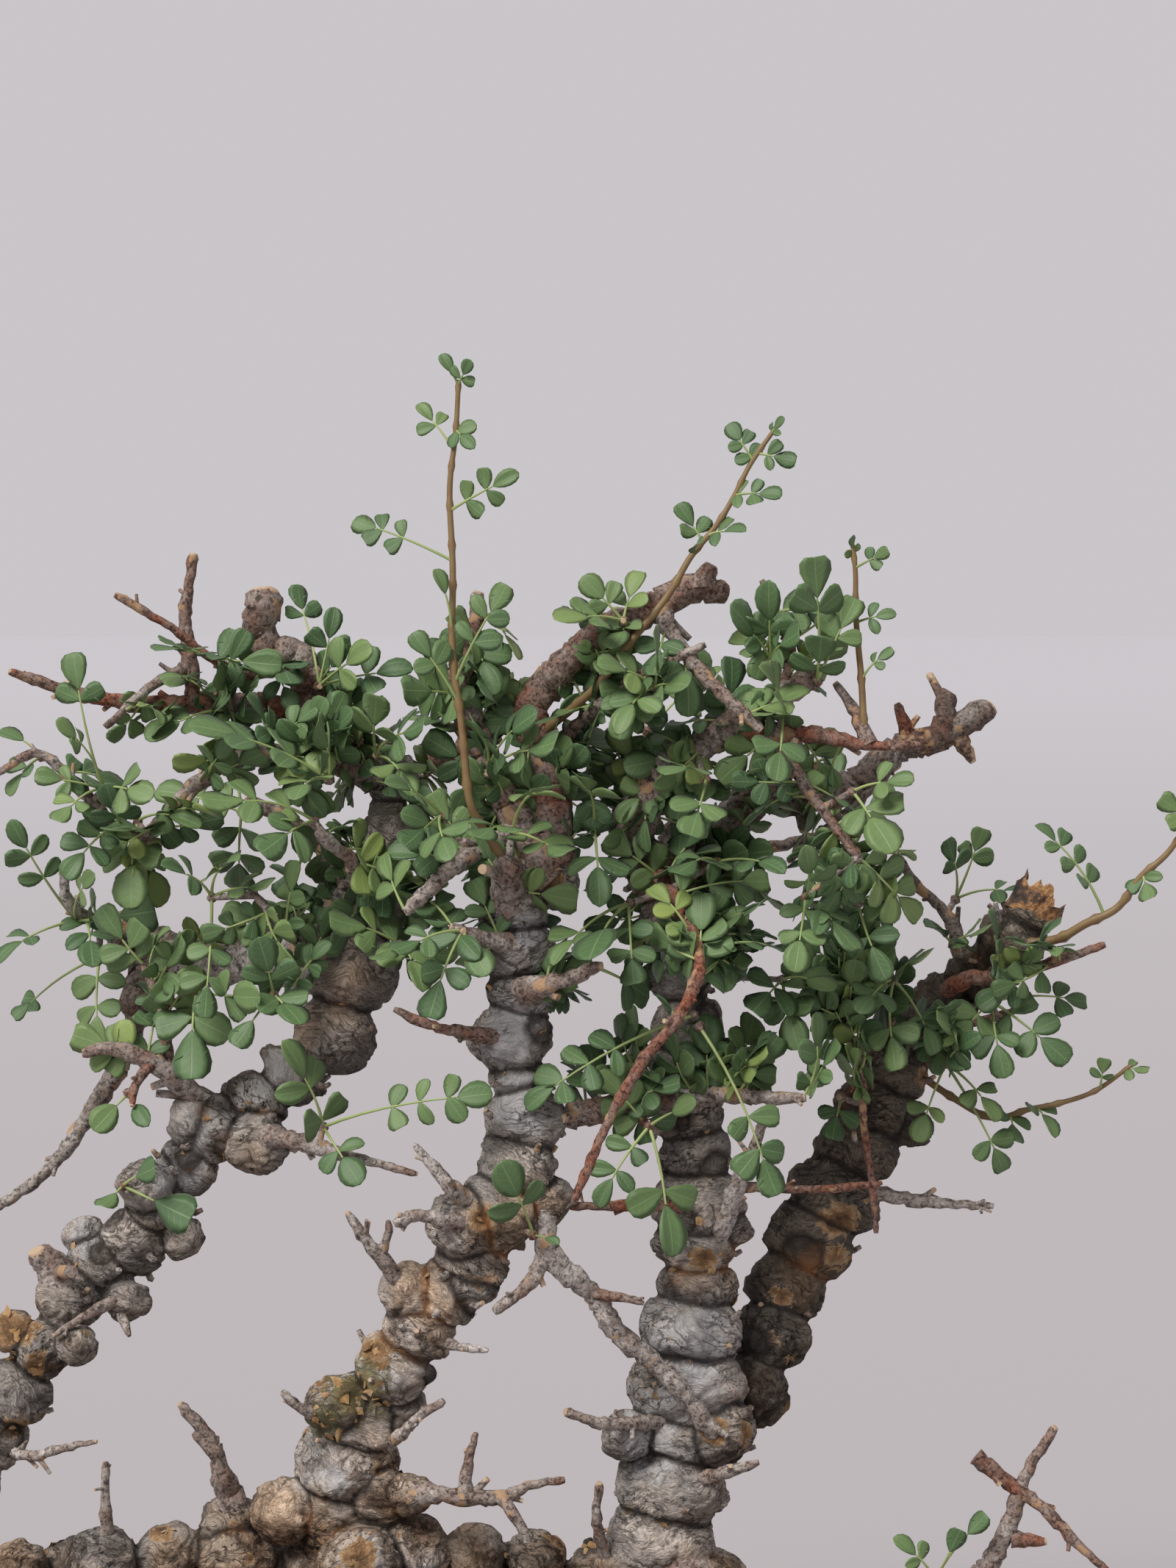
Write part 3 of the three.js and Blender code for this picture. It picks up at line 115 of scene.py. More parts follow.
branches = [  # first radius, last radius, then the points
    (8, 7, (-88, 206, 6), (-110, 208, 24), (-130, 207, 36), (-146, 208, 42)),
    (7, 5, (-146, 208, 42), (-150, 198, 43), (-154, 186, 42)),
    (6, 5.5, (-68, 272, 8), (-80, 278, 12), (-95, 287, 16), (-94, 300, 16), (-99, 310, 15),
        (-109, 312, 14), (-112, 321, 14), (-110, 332, 13)),
    (4.5, 1.4, (-97, 290, 16), (-112, 293, 18), (-130, 294, 18), (-149, 294, 16), (-168, 296, 12),
        (-182, 300, 8), (-197, 305, 4)),
    (2.6, 1.6, (-134, 294, 18), (-135, 305, 18), (-137, 324, 17), (-134, 345, 16)),
    (2, 1.2, (-105, 311, 15), (-116, 304, 8), (-129, 310, 4), (-142, 320, 0), (-161, 331, -4)),
    (1.8, 1.2, (-136, 307, 18), (-151, 298, 10), (-164, 286, 4)),
    (3.4, 1.3, (-72, 266, 2), (-90, 275, -4), (-115, 277, -8), (-136, 264, -8), (-153, 249, -4),
        (-170, 262, -4), (-187, 277, -6), (-201, 270, -8)),
    (2.8, 1.4, (-159, 219, 45), (-172, 222, 30), (-178, 230, 20), (-177, 241, 16)),
    (2.6, 1.6, (-88, 225, 0), (-93, 213, -10), (-97, 203, -18), (-105, 190, -24)),
    (2.4, 1.2, (-85, 206, -4), (-97, 212, -16), (-104, 217, -22), (-113, 229, -26)),
    (3.6, 2, (-130, 158, -6), (-140, 166, -12), (-149, 172, -16), (-162, 177, -18),
        (-172, 175, -18)),
    (2.2, 1.4, (-142, 168, -13), (-145, 189, -12), (-151, 205, -10)),
    (1.8, 1.1, (-148, 172, -16), (-154, 164, -24), (-155, 157, -28)),
    (3.6, 0.9, (-113, 146, -14), (-102, 146, -26), (-88, 142, -30), (-58, 134, -34)),
    (2.2, 1, (-157, 92, -14), (-167, 88, -22), (-182, 79, -26)),
    (1.8, 1, (-160, 89, -14), (-156, 79, -24)),
    (2.2, 0.9, (-200, 42, -10), (-190, 38, -20), (-178, 41, -24), (-167, 43, -26)),
    (5.5, 3.4, (-178, 95, -10), (-183, 103, -15), (-188, 108, -18)),
    (3.6, 1.6, (-153, 189, 42), (-156, 177, 42), (-162, 166, 41), (-170, 154, 40), (-183, 136, 38),
        (-202, 122, 36)),
    (6.5, 2.4, (-14, 232, -14), (-22, 250, -14), (-32, 268, -12), (-40, 286, -10), (-45, 300, -8),
        (-40, 313, -6), (-37, 332, -4)),
    (6, 4.4, (-13, 233, -12), (-12, 254, -10), (-15, 274, -8), (-20, 291, -6), (-9, 306, -6),
        (4, 317, -6), (22, 326, -4), (36, 333, -2), (47, 331, 0)),
    (3, 2.4, (38, 333, -3), (42, 341, -2)),
    (2.6, 1.8, (24, 327, -4), (32, 313, -14), (42, 301, -22), (50, 293, -26), (59, 285, -28)),
    (2.6, 1.3, (-14, 268, -9), (-6, 284, -14), (8, 297, -18), (20, 305, -18), (40, 314, -18)),
    (5.5, 3.6, (-25, 224, -22), (-28, 235, -30), (-27, 242, -34)),
    (3.2, 2, (-23, 252, -14), (-45, 239, -30), (-62, 223, -40)),
    (3, 1.6, (-26, 212, -26), (-36, 214, -34), (-47, 218, -38)),
    (2.8, 1.2, (-26, 180, -26), (-40, 182, -34), (-52, 184, -38), (-66, 190, -40)),
    (4, 1.6, (-23, 196, -24), (-15, 198, -34), (-8, 200, -38), (5, 205, -42)),
    (3, 1.2, (-38, 122, -34), (-47, 130, -40), (-53, 137, -42), (-59, 144, -44)),
    (3, 1.6, (-38, 116, -36), (-50, 118, -46), (-57, 120, -48), (-66, 117, -50)),
    (3, 1.2, (-63, 96, -30), (-70, 105, -36), (-76, 112, -38), (-82, 121, -40)),
    (1.6, 1, (-71, 106, -36), (-68, 113, -38), (-68, 118, -40)),
    (3.8, 2.6, (-15, 124, -28), (-14, 109, -32), (-9, 102, -32), (0, 95, -30), (11, 79, -26),
        (22, 70, -24), (35, 56, -20), (43, 45, -16)),
    (2.6, 1.6, (-13, 112, -31), (-19, 98, -36), (-32, 87, -40)),
    (1.8, 1, (2, 93, -30), (12, 92, -36), (19, 90, -38)),
    (1.8, 0.9, (-50, 77, -28), (-42, 75, -34), (-34, 74, -36)),
    (2.2, 1.2, (-88, 52, -24), (-97, 54, -30), (-104, 60, -32)),
    (2.6, 1.2, (-73, 40, -16), (-64, 45, -30), (-58, 51, -34), (-49, 57, -36)),
    (3.4, 1.2, (-62, 25, -30), (-52, 25, -36), (-38, 24, -38), (-28, 24, -38), (-20, 28, -38),
        (-8, 30, -38)),
    (2.2, 1.2, (-42, 24, -38), (-41, 34, -38), (-38, 46, -38)),
    (2, 1.2, (-30, 24, -38), (-25, 18, -42), (-20, 8, -42)),
    (2.4, 1.1, (-163, 8, -22), (-164, 22, -26), (-164, 36, -28)),
    (4, 1.4, (-121, 20, -12), (-125, 33, -18), (-128, 43, -20), (-139, 56, -22)),
    (2, 1.4, (-127, 40, -20), (-134, 46, -22)),
    (2.2, 1.3, (8, -4, -6), (3, 16, -16), (4, 29, -18)),
    (6.5, 3.2, (16, 250, 2), (22, 266, -4), (38, 279, -8), (51, 288, -10), (62, 294, -10),
        (78, 304, -10)),
    (3.6, 1.2, (50, 288, -10), (62, 284, -14), (80, 283, -16), (93, 280, -18), (113, 280, -20)),
    (2.6, 1.5, (64, 284, -14), (72, 269, -24), (81, 256, -28), (92, 242, -32)),
    (2.2, 1.5, (96, 280, -18), (91, 291, -14), (84, 301, -10)),
    (2, 1.1, (66, 298, -10), (69, 312, -6), (64, 325, -4), (59, 336, -4)),
    (7, 3.8, (29, 222, 8), (42, 244, 24), (59, 264, 40), (70, 262, 46), (85, 264, 48),
        (96, 270, 48), (106, 279, 46), (119, 282, 44), (137, 293, 42)),
    (2.6, 1.2, (76, 262, 47), (77, 274, 44)),
    (2.6, 1.2, (72, 262, 46), (73, 250, 44)),
    (2.8, 1.2, (110, 281, 46), (105, 294, 44)),
    (3.4, 3, (120, 283, 44), (123, 298, 42)),
    (2.8, 1.6, (124, 285, 44), (131, 274, 42)),
    (4.5, 2, (24, 236, 10), (30, 252, 34), (28, 272, 56), (18, 290, 68)),
    (3, 1.8, (27, 244, 20), (56, 244, 60), (84, 250, 76)),
    (3, 4.2, (34, 160, -4), (14, 158, -17), (-1, 155, -20), (-8, 154, -21)),
    (2.8, 1.8, (30, 160, -6), (47, 161, -17), (62, 160, -20), (74, 160, -22)),
    (1.8, 1.1, (12, 158, -17), (23, 148, -24)),
    (2.4, 1.4, (23, 238, 0), (30, 226, -22), (38, 206, -40), (31, 188, -46), (19, 173, -50),
        (9, 156, -52), (0, 136, -54), (-5, 124, -54)),
    (2.4, 1.2, (36, 122, -6), (20, 123, -16), (6, 123, -20), (-7, 123, -22)),
    (3.4, 1.3, (44, 112, -4), (50, 128, -12), (55, 140, -16), (62, 158, -20)),
    (1.8, 1, (52, 130, -12), (66, 129, -10), (82, 129, -8), (100, 131, -6)),
    (2.6, 1.5, (28, 50, -8), (6, 49, -24), (-8, 53, -28)),
    (2.4, 1.3, (38, 30, -12), (49, 33, -18), (58, 36, -20)),
    (3.4, 1, (87, 130, 30), (106, 126, 28), (122, 124, 26), (138, 123, 24)),
    (2, 1.1, (106, 180, 34), (96, 194, 20), (87, 190, 10), (92, 171, 6), (94, 149, 4), (97, 128, 4),
        (98, 114, 4)),
    (2.8, 1.4, (119, 193, 36), (128, 200, 26), (140, 201, 22), (152, 204, 20), (176, 212, 16)),
    (1.8, 1, (108, 180, 36), (112, 184, 24), (118, 178, 20), (125, 170, 18)),
    (2, 1, (122, 186, 38), (134, 186, 28), (152, 192, 24)),
    (2.6, 1.3, (128, 206, 44), (122, 222, 50), (112, 232, 52), (104, 244, 50)),
    (1.5, 1, (106, 279, 46), (101, 270, 45), (84, 254, 46), (68, 240, 48)),
    (4.5, 2, (-75, 222, 6), (-84, 238, 34), (-98, 252, 56), (-116, 262, 66)),
    (4, 1.8, (-68, 262, 10), (-58, 270, 34), (-44, 278, 54), (-30, 282, 66)),
    (3.6, 1.8, (-76, 228, -2), (-80, 240, -24), (-92, 250, -40)),
    (6.5, 1.7, (34, -2, -4), (62, -12, -8), (96, -17, -12), (122, -11, -14), (136, 1, -16),
        (143, 14, -16), (146, 24, -16), (150, 34, -16), (159, 48, -16)),
    (2.2, 1.5, (144, 10, -16), (156, 9, -18)),
    (2.4, 1.2, (132, 38, -18), (146, 27, -17), (154, 21, -19), (168, 7, -24), (184, -8, -26)),
]
shoots = {  # radii, points, and leaves: share, tip, leaflets, leaflet length
    "shoot_tall": ((1.5, 0.8), [
        (-28, 240, -32), (-36, 252, -40), (-40, 260, -44), (-43, 287, -44), (-46, 309, -42),
        (-46, 340, -38), (-47, 368, -34), (-45, 386, -32), (-44, 404, -30),
    ], [
        (0.99, -39, 411, -34, 3, 6), (0.99, -50, 412, -28, 1, 7), (0.86, -58, 395, -26, 3, 8),
        (0.9, -38, 380, -38, 3, 8), (0.74, -24, 372, -40, 5, 9), (0.64, -80, 356, -28, 5, 9),
        (0.5, -52, 340, -44, 1, 9), (0.4, -27, 334, -44, 5, 10), (0.36, -60, 318, -44, 3, 10),
    ]),
    "shoot_leaning": ((1.6, 0.8), [
        (-17, 283, -7), (2, 299, -18), (13, 313, -18), (28, 332, -16), (35, 344, -15),
        (44, 355, -14), (50, 365, -13), (55, 375, -12), (64, 388, -11),
    ], [
        (0.98, 67, 391, -14, 3, 5), (0.9, 48, 389, -8, 5, 7), (0.92, 71, 376, -14, 3, 8),
        (0.8, 66, 364, -20, 5, 8), (0.68, 54, 350, -24, 3, 9), (0.66, 30, 360, -10, 3, 9),
        (0.62, 40, 347, -24, 1, 10),
    ]),
    "shoot_right": ((1.3, 0.8), [
        (94, 282, -18), (93, 302, -14), (92, 313, -12), (91, 326, -10), (91, 338, -9),
        (90, 348, -8),
    ], [
        (0.97, 88, 351, -10, 3, 5), (0.88, 103, 346, -12, 3, 6), (0.6, 105, 324, -14, 3, 7),
        (0.3, 104, 312, -16, 3, 6),
    ]),
    "shoot_far": ((1.8, 0.8), [
        (144, 212, 34), (160, 214, 26), (169, 219, 22), (180, 224.5, 20), (188, 235, 18),
        (197, 243, 17), (210, 262, 15),
    ], [
        (0.97, 216, 262, 12, 3, 8), (0.9, 194, 262, 18, 5, 9), (0.4, 152, 253, 24, 7, 9),
        (0.62, 192, 226, 12, 3, 8),
    ]),
    "shoot_low": ((1.4, 0.7), [
        (107, 172, 38), (124, 160, 34), (138, 153, 30), (150, 156, 28), (160, 158, 26),
        (172, 162, 25), (185, 171, 24),
    ], [
        (0.98, 191, 168, 22, 3, 6), (0.85, 176, 174, 20, 3, 6), (0.59, 158, 146, 20, 3, 10),
        (0.48, 140, 142, 24, 3, 9),
    ]),
}
sprays = {  # hub, then leaves: tip, leaflets, leaflet length
    "left_high": [(-165, 265, -8), (-175, 311, -14, 3, 12), (-181, 288, -24, 3, 9),
        (-188, 269, -12, 3, 9), (-181, 252, -28, 3, 9), (-147, 262, -30, 3, 11)],
    "left_trio": [(-152, 252, -2), (-155, 224, -14, 3, 15), (-134, 250, -16, 3, 12)],
    "left_mid": [(-175, 224, 26), (-196, 253, 8, 5, 11), (-142, 226, 14, 1, 17),
        (-201, 207, 12, 3, 11), (-170, 238, 0, 3, 9)],
    "left_low": [(-166, 208, 34), (-166, 176, 20, 5, 12), (-195, 186, 28, 3, 8)],
    "left_inner": [(-128, 228, -14), (-131, 186, -30, 5, 11), (-118, 240, -40, 3, 12),
        (-106, 230, -30, 3, 11), (-146, 238, -34, 3, 11)],
    "left_hanging": [(-133, 196, -12), (-134, 165, -24, 3, 17), (-114, 194, -34, 3, 13)],
    "left_across": [(-93, 254, -26), (-132, 258, -38, 5, 14), (-112, 242, -52, 3, 13)],
    "left_shoulder": [(-88, 268, -16), (-136, 286, -30, 5, 17), (-100, 262, -50, 3, 13),
        (-93, 288, -40, 3, 14)],
    "left_crown": [(-72, 276, -6), (-72, 297, -28, 3, 13), (-52, 285, -34, 3, 13),
        (-60, 262, -30, 3, 12)],
    "left_top": [(-92, 300, 8), (-86, 327, 4, 3, 11), (-73, 313, -6, 3, 12), (-60, 305, 2, 3, 12),
        (-100, 333, 22, 3, 9)],
    "left_far_top": [(-122, 292, 10), (-128, 306, -8, 1, 11), (-150, 280, 0, 3, 13),
        (-117, 276, 0, 3, 13)],
    "left_edge": [(-186, 276, 0), (-196, 262, -6, 3, 9), (-200, 284, 4, 1, 9)],
    "stem_side": [(-64, 212, -22), (-88, 220, -34, 5, 13), (-58, 194, -40, 3, 14),
        (-70, 205, -46, 1, 12)],
    "stem_low": [(-90, 150, -26), (-106, 179, -34, 5, 15), (-32, 161, -44, 7, 11),
        (-77, 130, -40, 3, 11)],
    "stem_front": [(-106, 194, -26), (-99, 181, -40, 3, 13), (-120, 182, -36, 1, 11),
        (-112, 214, -38, 3, 12)],
    "foot_shoot": [(-158, 130, -28), (-133, 118, -38, 1, 16), (-146, 136, -42, 1, 11),
        (-165, 119, -38, 1, 10)],
    "dead_twig_leaf": [(-155, 163, -22), (-149, 150, -30, 1, 10), (-168, 149, -26, 1, 11)],
    "left_back": [(-116, 258, 64), (-146, 262, 74, 5, 13), (-126, 286, 74, 3, 13),
        (-118, 232, 82, 5, 13)],
    "left_back_low": [(-96, 244, 52), (-78, 222, 62, 3, 13), (-106, 214, 70, 3, 13)],
    "middle_high": [(-34, 270, -20), (-40, 287, -52, 3, 12), (-18, 291, -46, 5, 12),
        (-8, 278, -48, 3, 13)],
    "middle_left": [(-50, 256, -26), (-64, 243, -42, 3, 12), (-46, 240, -56, 3, 12),
        (-68, 268, -48, 3, 11)],
    "middle_front": [(-26, 250, -28), (-38, 247, -60, 3, 13), (-6, 240, -56, 5, 12),
        (-12, 262, -64, 3, 13)],
    "middle_right": [(2, 252, -12), (-4, 268, -38, 3, 13), (4, 226, -40, 3, 14)],
    "middle_low": [(14, 226, -18), (1, 206, -56, 1, 19), (16, 197, -42, 5, 11),
        (-10, 204, -40, 3, 12)],
    "middle_side": [(-44, 217, -40), (-54, 186, -52, 5, 14), (-66, 206, -58, 3, 11),
        (-34, 200, -52, 1, 12)],
    "middle_across": [(36, 188, -18), (-22, 156, -36, 7, 12)],
    "middle_hanging": [(22, 149, -26), (27, 106, -38, 3, 17), (3, 122, -36, 5, 11),
        (38, 158, -36, 1, 10)],
    "middle_knob": [(-20, 114, -38), (-31, 139, -52, 3, 14), (-10, 110, -48, 1, 6)],
    "middle_top": [(12, 322, -16), (-12, 320, -30, 3, 13), (-2, 337, -16, 3, 10),
        (18, 338, -10, 3, 10)],
    "middle_back": [(-34, 282, 60), (-54, 300, 70, 3, 13), (-16, 296, 74, 3, 13),
        (-34, 256, 78, 5, 13)],
    "right_fan": [(22, 300, -18), (18, 318, -38, 1, 18), (34, 300, -40, 3, 13),
        (10, 284, -40, 3, 12), (2, 306, -32, 3, 12)],
    "right_down": [(38, 184, -20), (63, 126, -32, 5, 13)],
    "right_front": [(40, 268, -20), (26, 270, -46, 3, 13), (34, 247, -54, 3, 13)],
    "right_middle": [(44, 240, -14), (30, 234, -36, 5, 12), (66, 238, -46, 3, 12)],
    "right_low": [(46, 218, -18), (30, 214, -34, 3, 13), (47, 196, -34, 5, 12),
        (62, 222, -42, 3, 13)],
    "right_outer": [(74, 228, -26), (90, 208, -36, 3, 14), (70, 202, -42, 5, 11),
        (74, 246, -46, 3, 12)],
    "right_edge": [(92, 226, -14), (92, 240, -34, 3, 12), (108, 232, -22, 3, 12),
        (102, 200, -26, 5, 12)],
    "right_skirt": [(104, 200, 8), (116, 208, -14, 3, 12), (92, 188, -22, 3, 11),
        (106, 168, -10, 3, 12), (118, 174, 2, 3, 11)],
    "right_under": [(66, 200, -6), (54, 186, -22, 3, 13), (72, 176, -18, 3, 13),
        (84, 194, -22, 3, 12)],
    "leaning_leaf": [(86, 160, 16), (82, 144, 6, 3, 10)],
    "bright_leaf": [(90, 264, -24), (103, 242, -38, 3, 15), (112, 266, -34, 3, 10)],
    "right_tuft": [(64, 308, -8), (46, 326, -20, 3, 14), (62, 336, -20, 3, 14),
        (74, 318, -26, 3, 12)],
    "right_spike": [(78, 302, -16), (76, 344, -22, 3, 14), (91, 330, -14, 3, 12),
        (80, 320, -34, 3, 13)],
    "right_inner": [(66, 290, -18), (56, 306, -40, 3, 13), (64, 268, -44, 3, 12)],
    "right_back": [(80, 250, 72), (104, 262, 82, 5, 13), (84, 276, 84, 3, 13), (88, 224, 84, 5, 13)],
    "crown_back": [(20, 286, 64), (2, 300, 74, 3, 13), (38, 304, 78, 3, 13), (22, 262, 82, 5, 13)],
    "stump_leaves": [(124, 212, 34), (114, 216, 18, 3, 14), (138, 214, 18, 3, 11)],
    "far_right": [(138, 190, 26), (163, 172, 14, 5, 12), (142, 166, 6, 3, 12),
        (124, 178, 12, 3, 11), (170, 192, 28, 3, 9)],
    "far_right_low": [(122, 172, 22), (139, 152, 12, 3, 10), (112, 144, 12, 3, 10),
        (142, 134, 18, 3, 10)],
    "far_right_high": [(124, 226, 52), (122, 248, 42, 3, 9), (134, 252, 52, 3, 9),
        (150, 228, 46, 3, 9)],
    "low_right": [(118, -4, -18), (104, 10, -22, 3, 9), (127, 14, -26, 1, 9), (136, 18, -24, 1, 9)],
}

viewAhead = np.array([0.0, math.cos(frontView["tilt"]), -math.sin(frontView["tilt"])])
viewUp = np.array([0.0, math.sin(frontView["tilt"]), math.cos(frontView["tilt"])])
eye = frontView["middle"] - viewAhead * frontView["distance"]


def seen(point):  # the place in space of a point of the layout
    across, up, deep = point[:3]
    onPlane = frontView["middle"] + np.array([across, 0, 0]) + viewUp * (up - frontView["height"] / 2)
    ray = onPlane - eye
    return eye + ray * ((frontView["middle"][1] + deep - eye[1]) / ray[1])


def inView(places):  # across and up of many places, seen from the front
    rays = places - eye
    onPlane = eye + rays * (frontView["distance"] / (rays @ viewAhead))[:, None] - frontView["middle"]
    return onPlane[:, 0], onPlane @ viewUp + frontView["height"] / 2


def drawsFrom(seed):  # seeded draws between 0 and 1
    full = 0xFFFFFFFF
    state = (seed * 2654435761) & full

    def draw():
        nonlocal state
        state = (state + 0x6D2B79F5) & full
        mixed = ((state ^ (state >> 15)) * (1 | state)) & full
        mixed = ((mixed + (((mixed ^ (mixed >> 7)) * (61 | mixed)) & full)) ^ mixed) & full
        return ((mixed ^ (mixed >> 14)) & full) / 4294967296

    return draw


class Curve:  # a smooth run through points, measured along its length
    def __init__(self, points):
        p = [np.array(q, float) for q in points]
        self.p = [2 * p[0] - p[1]] + p + [2 * p[-1] - p[-2]]
        self.share = np.linspace(0, 1, 201)
        line = np.array([self.raw(t) for t in self.share])
        self.length = np.concatenate([[0], np.cumsum(np.linalg.norm(np.diff(line, axis=0), axis=1))])

    def raw(self, t):
        n = len(self.p) - 3
        i = min(int(t * n), n - 1)
        w = t * n - i
        a, b, c, d = self.p[i : i + 4]
        gaps = [max(float(np.dot(v - u, v - u)) ** 0.25, 1e-4) for u, v in ((a, b), (b, c), (c, d))]
        g0, g1, g2 = gaps
        t1 = ((b - a) / g0 - (c - a) / (g0 + g1) + (c - b) / g1) * g1
        t2 = ((c - b) / g1 - (d - b) / (g1 + g2) + (d - c) / g2) * g1
        return b + t1 * w + (-3 * b + 3 * c - 2 * t1 - t2) * w * w + (2 * b - 2 * c + t1 + t2) * w**3

    def at(self, u):
        return self.raw(float(np.interp(u * self.length[-1], self.length, self.share)))

    def spaced(self, steps):
        return [self.at(i / steps) for i in range(steps + 1)]


def unit(v):
    return v / max(np.linalg.norm(v), 1e-9)


def turned(v, axis, angle):
    c, s = math.cos(angle), math.sin(angle)
    return v * c + np.cross(axis, v) * s + axis * (axis @ v) * (1 - c)


def anyWay(draw):  # a short step in any direction
    return np.array([draw() - 0.5, draw() - 0.5, draw() - 0.5])


def between(least, most, share):
    return least + (most - least) * share


# Meshes, trees and materials are all made through these few helpers
def meshObject(name, verts, faces, edges=()):
    mesh = bpy.data.meshes.new(name)
    mesh.from_pydata([tuple(v) for v in verts], list(edges), faces)
    mesh.update()
    piece = bpy.data.objects.new(name, mesh)
    bpy.context.scene.collection.objects.link(piece)
    return piece


def markPoints(piece, name, values, kind="FLOAT"):
    layer = piece.data.attributes.new(name, kind, "POINT")
    numbers = np.asarray(values, np.int32 if kind == "INT" else np.float32).ravel()
    layer.data.foreach_set("vector" if kind == "FLOAT_VECTOR" else "value", numbers)


def geometryTree(name, inputs):
    tree = bpy.data.node_groups.new(name, "GeometryNodeTree")
    tree.interface.new_socket(name="Geometry", in_out="INPUT", socket_type="NodeSocketGeometry")
    tree.interface.new_socket(name="Geometry", in_out="OUTPUT", socket_type="NodeSocketGeometry")
    for label, kind in inputs.items():
        tree.interface.new_socket(name=label, in_out="INPUT", socket_type="NodeSocket" + kind)
    return tree, tree.nodes.new("NodeGroupInput"), tree.nodes.new("NodeGroupOutput")


def setSocket(tree, socket, value):  # a link, or a value of the socket's own
    if isinstance(value, bpy.types.NodeSocket):
        tree.links.new(value, socket)
    else:
        socket.default_value = value


def addNode(tree, kind, settings=None, **sockets):  # at0 is the first socket, and _ stands for a space
    node = tree.nodes.new(kind)
    for key, value in (settings or {}).items():
        setattr(node, key, value)
    for key, value in sockets.items():
        setSocket(tree, node.inputs[int(key[2:]) if key[2:].isdigit() else key.replace("_", " ")], value)
    return node


def mathNode(tree, operation, *values):
    node = addNode(tree, "ShaderNodeMath", {"operation": operation})
    for socket, value in zip(node.inputs, values):
        setSocket(tree, socket, value)
    return node.outputs[0]


def times(tree, a, b):
    return mathNode(tree, "MULTIPLY", a, b)


def plus(tree, a, b):
    return mathNode(tree, "ADD", a, b)


def minus(tree, a, b):
    return mathNode(tree, "SUBTRACT", a, b)


def vectorNode(tree, operation, vector, **sockets):
    return addNode(tree, "ShaderNodeVectorMath", {"operation": operation}, at0=vector, **sockets).outputs[0]


def cloud(tree, place, scale, detail, roughness=0.5, distortion=0.0):
    return addNode(tree, "ShaderNodeTexNoise", Vector=place, Scale=scale, Detail=detail, Roughness=roughness,
                   Distortion=distortion).outputs[0]


def stretched(tree, place, scale):
    return addNode(tree, "ShaderNodeMapping", Vector=place, Scale=scale).outputs[0]


def endTree(tree, given, out, geometry):  # every tree ends in plain geometry with its material
    real = addNode(tree, "GeometryNodeRealizeInstances", Geometry=geometry)
    painted = addNode(tree, "GeometryNodeSetMaterial", Geometry=real.outputs[0],
                      Material=given.outputs["Material"])
    tree.links.new(painted.outputs[0], out.inputs[0])
    return tree


def pushed(tree, given, out, geometry, push):  # the points moved along their normals, and the tree ended
    offset = vectorNode(tree, "SCALE", tree.nodes.new("GeometryNodeInputNormal").outputs[0], Scale=push)
    moved = addNode(tree, "GeometryNodeSetPosition", Geometry=geometry, Offset=offset)
    return endTree(tree, given, out, moved.outputs[0])


def named(tree, name, kind="FLOAT"):
    return addNode(tree, "GeometryNodeInputNamedAttribute", {"data_type": kind}, Name=name).outputs[0]


def madePlain(piece, tree, values):  # runs a tree on a piece and keeps its result as a plain mesh
    modifier = piece.modifiers.new(tree.name, "NODES")
    modifier.node_group = tree
    for item in tree.interface.items_tree:
        if item.item_type == "SOCKET" and item.in_out == "INPUT" and item.name in values:
            modifier[item.identifier] = values[item.name]
    return appliedMesh(piece)


def appliedMesh(piece):
    graph = bpy.context.evaluated_depsgraph_get()
    mesh = bpy.data.meshes.new_from_object(piece.evaluated_get(graph), preserve_all_data_layers=True,
                                           depsgraph=graph)
    piece.modifiers.clear()
    old = piece.data
    piece.data = mesh
    mesh.name = piece.name
    bpy.data.meshes.remove(old)
    return piece


def smooth(piece):
    piece.data.polygons.foreach_set("use_smooth", [True] * len(piece.data.polygons))
    piece.data.update()


def pointValues(piece, label):
    flat = np.empty(len(piece.data.vertices) * 3, np.float32)
    piece.data.vertices.foreach_get(label, flat)
    return flat.reshape(-1, 3)


def coordinates(piece):
    return pointValues(piece, "co") / mm


def normals(piece):
    return pointValues(piece, "normal")


def finish(piece, slotName, *nodes):
    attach(piece, "root")
    if nodes:
        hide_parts(*nodes)


def material(name):
    made = bpy.data.materials.new(name)
    made.use_nodes = True
    tree = made.node_tree
    return made, tree, tree.nodes["Principled BSDF"], addNode(tree, "ShaderNodeTexCoord").outputs["Object"]


def dress(tree, shader, color, roughness, specular, bumpStrength, bumpDepth, height):
    tree.links.new(color, shader.inputs["Base Color"])
    setSocket(tree, shader.inputs["Roughness"], roughness)
    shader.inputs["Specular IOR Level"].default_value = specular
    bump = addNode(tree, "ShaderNodeBump", Strength=bumpStrength, Distance=bumpDepth, Height=height)
    tree.links.new(bump.outputs[0], shader.inputs["Normal"])


def ramp(tree, fac, stops):
    node = addNode(tree, "ShaderNodeValToRGB", Fac=fac)
    for i, (place, color) in enumerate(stops):
        element = node.color_ramp.elements[i] if i < 2 else node.color_ramp.elements.new(place)
        element.position = place
        element.color = (*color, 1) if len(color) == 3 else color
    return node.outputs["Color"]


def maskRamp(tree, fac, low, high):
    return addNode(tree, "ShaderNodeMapRange", {"interpolation_type": "SMOOTHSTEP"},
                   Value=fac, From_Min=low, From_Max=high).outputs[0]


def mixColor(tree, factor, a, b, blend="MIX"):
    node = addNode(tree, "ShaderNodeMix", {"data_type": "RGBA", "blend_type": blend}, at0=factor)
    for socket, color in ((node.inputs[6], a), (node.inputs[7], b)):
        setSocket(tree, socket, (*color, 1) if isinstance(color, tuple) else color)
    return node.outputs[2]


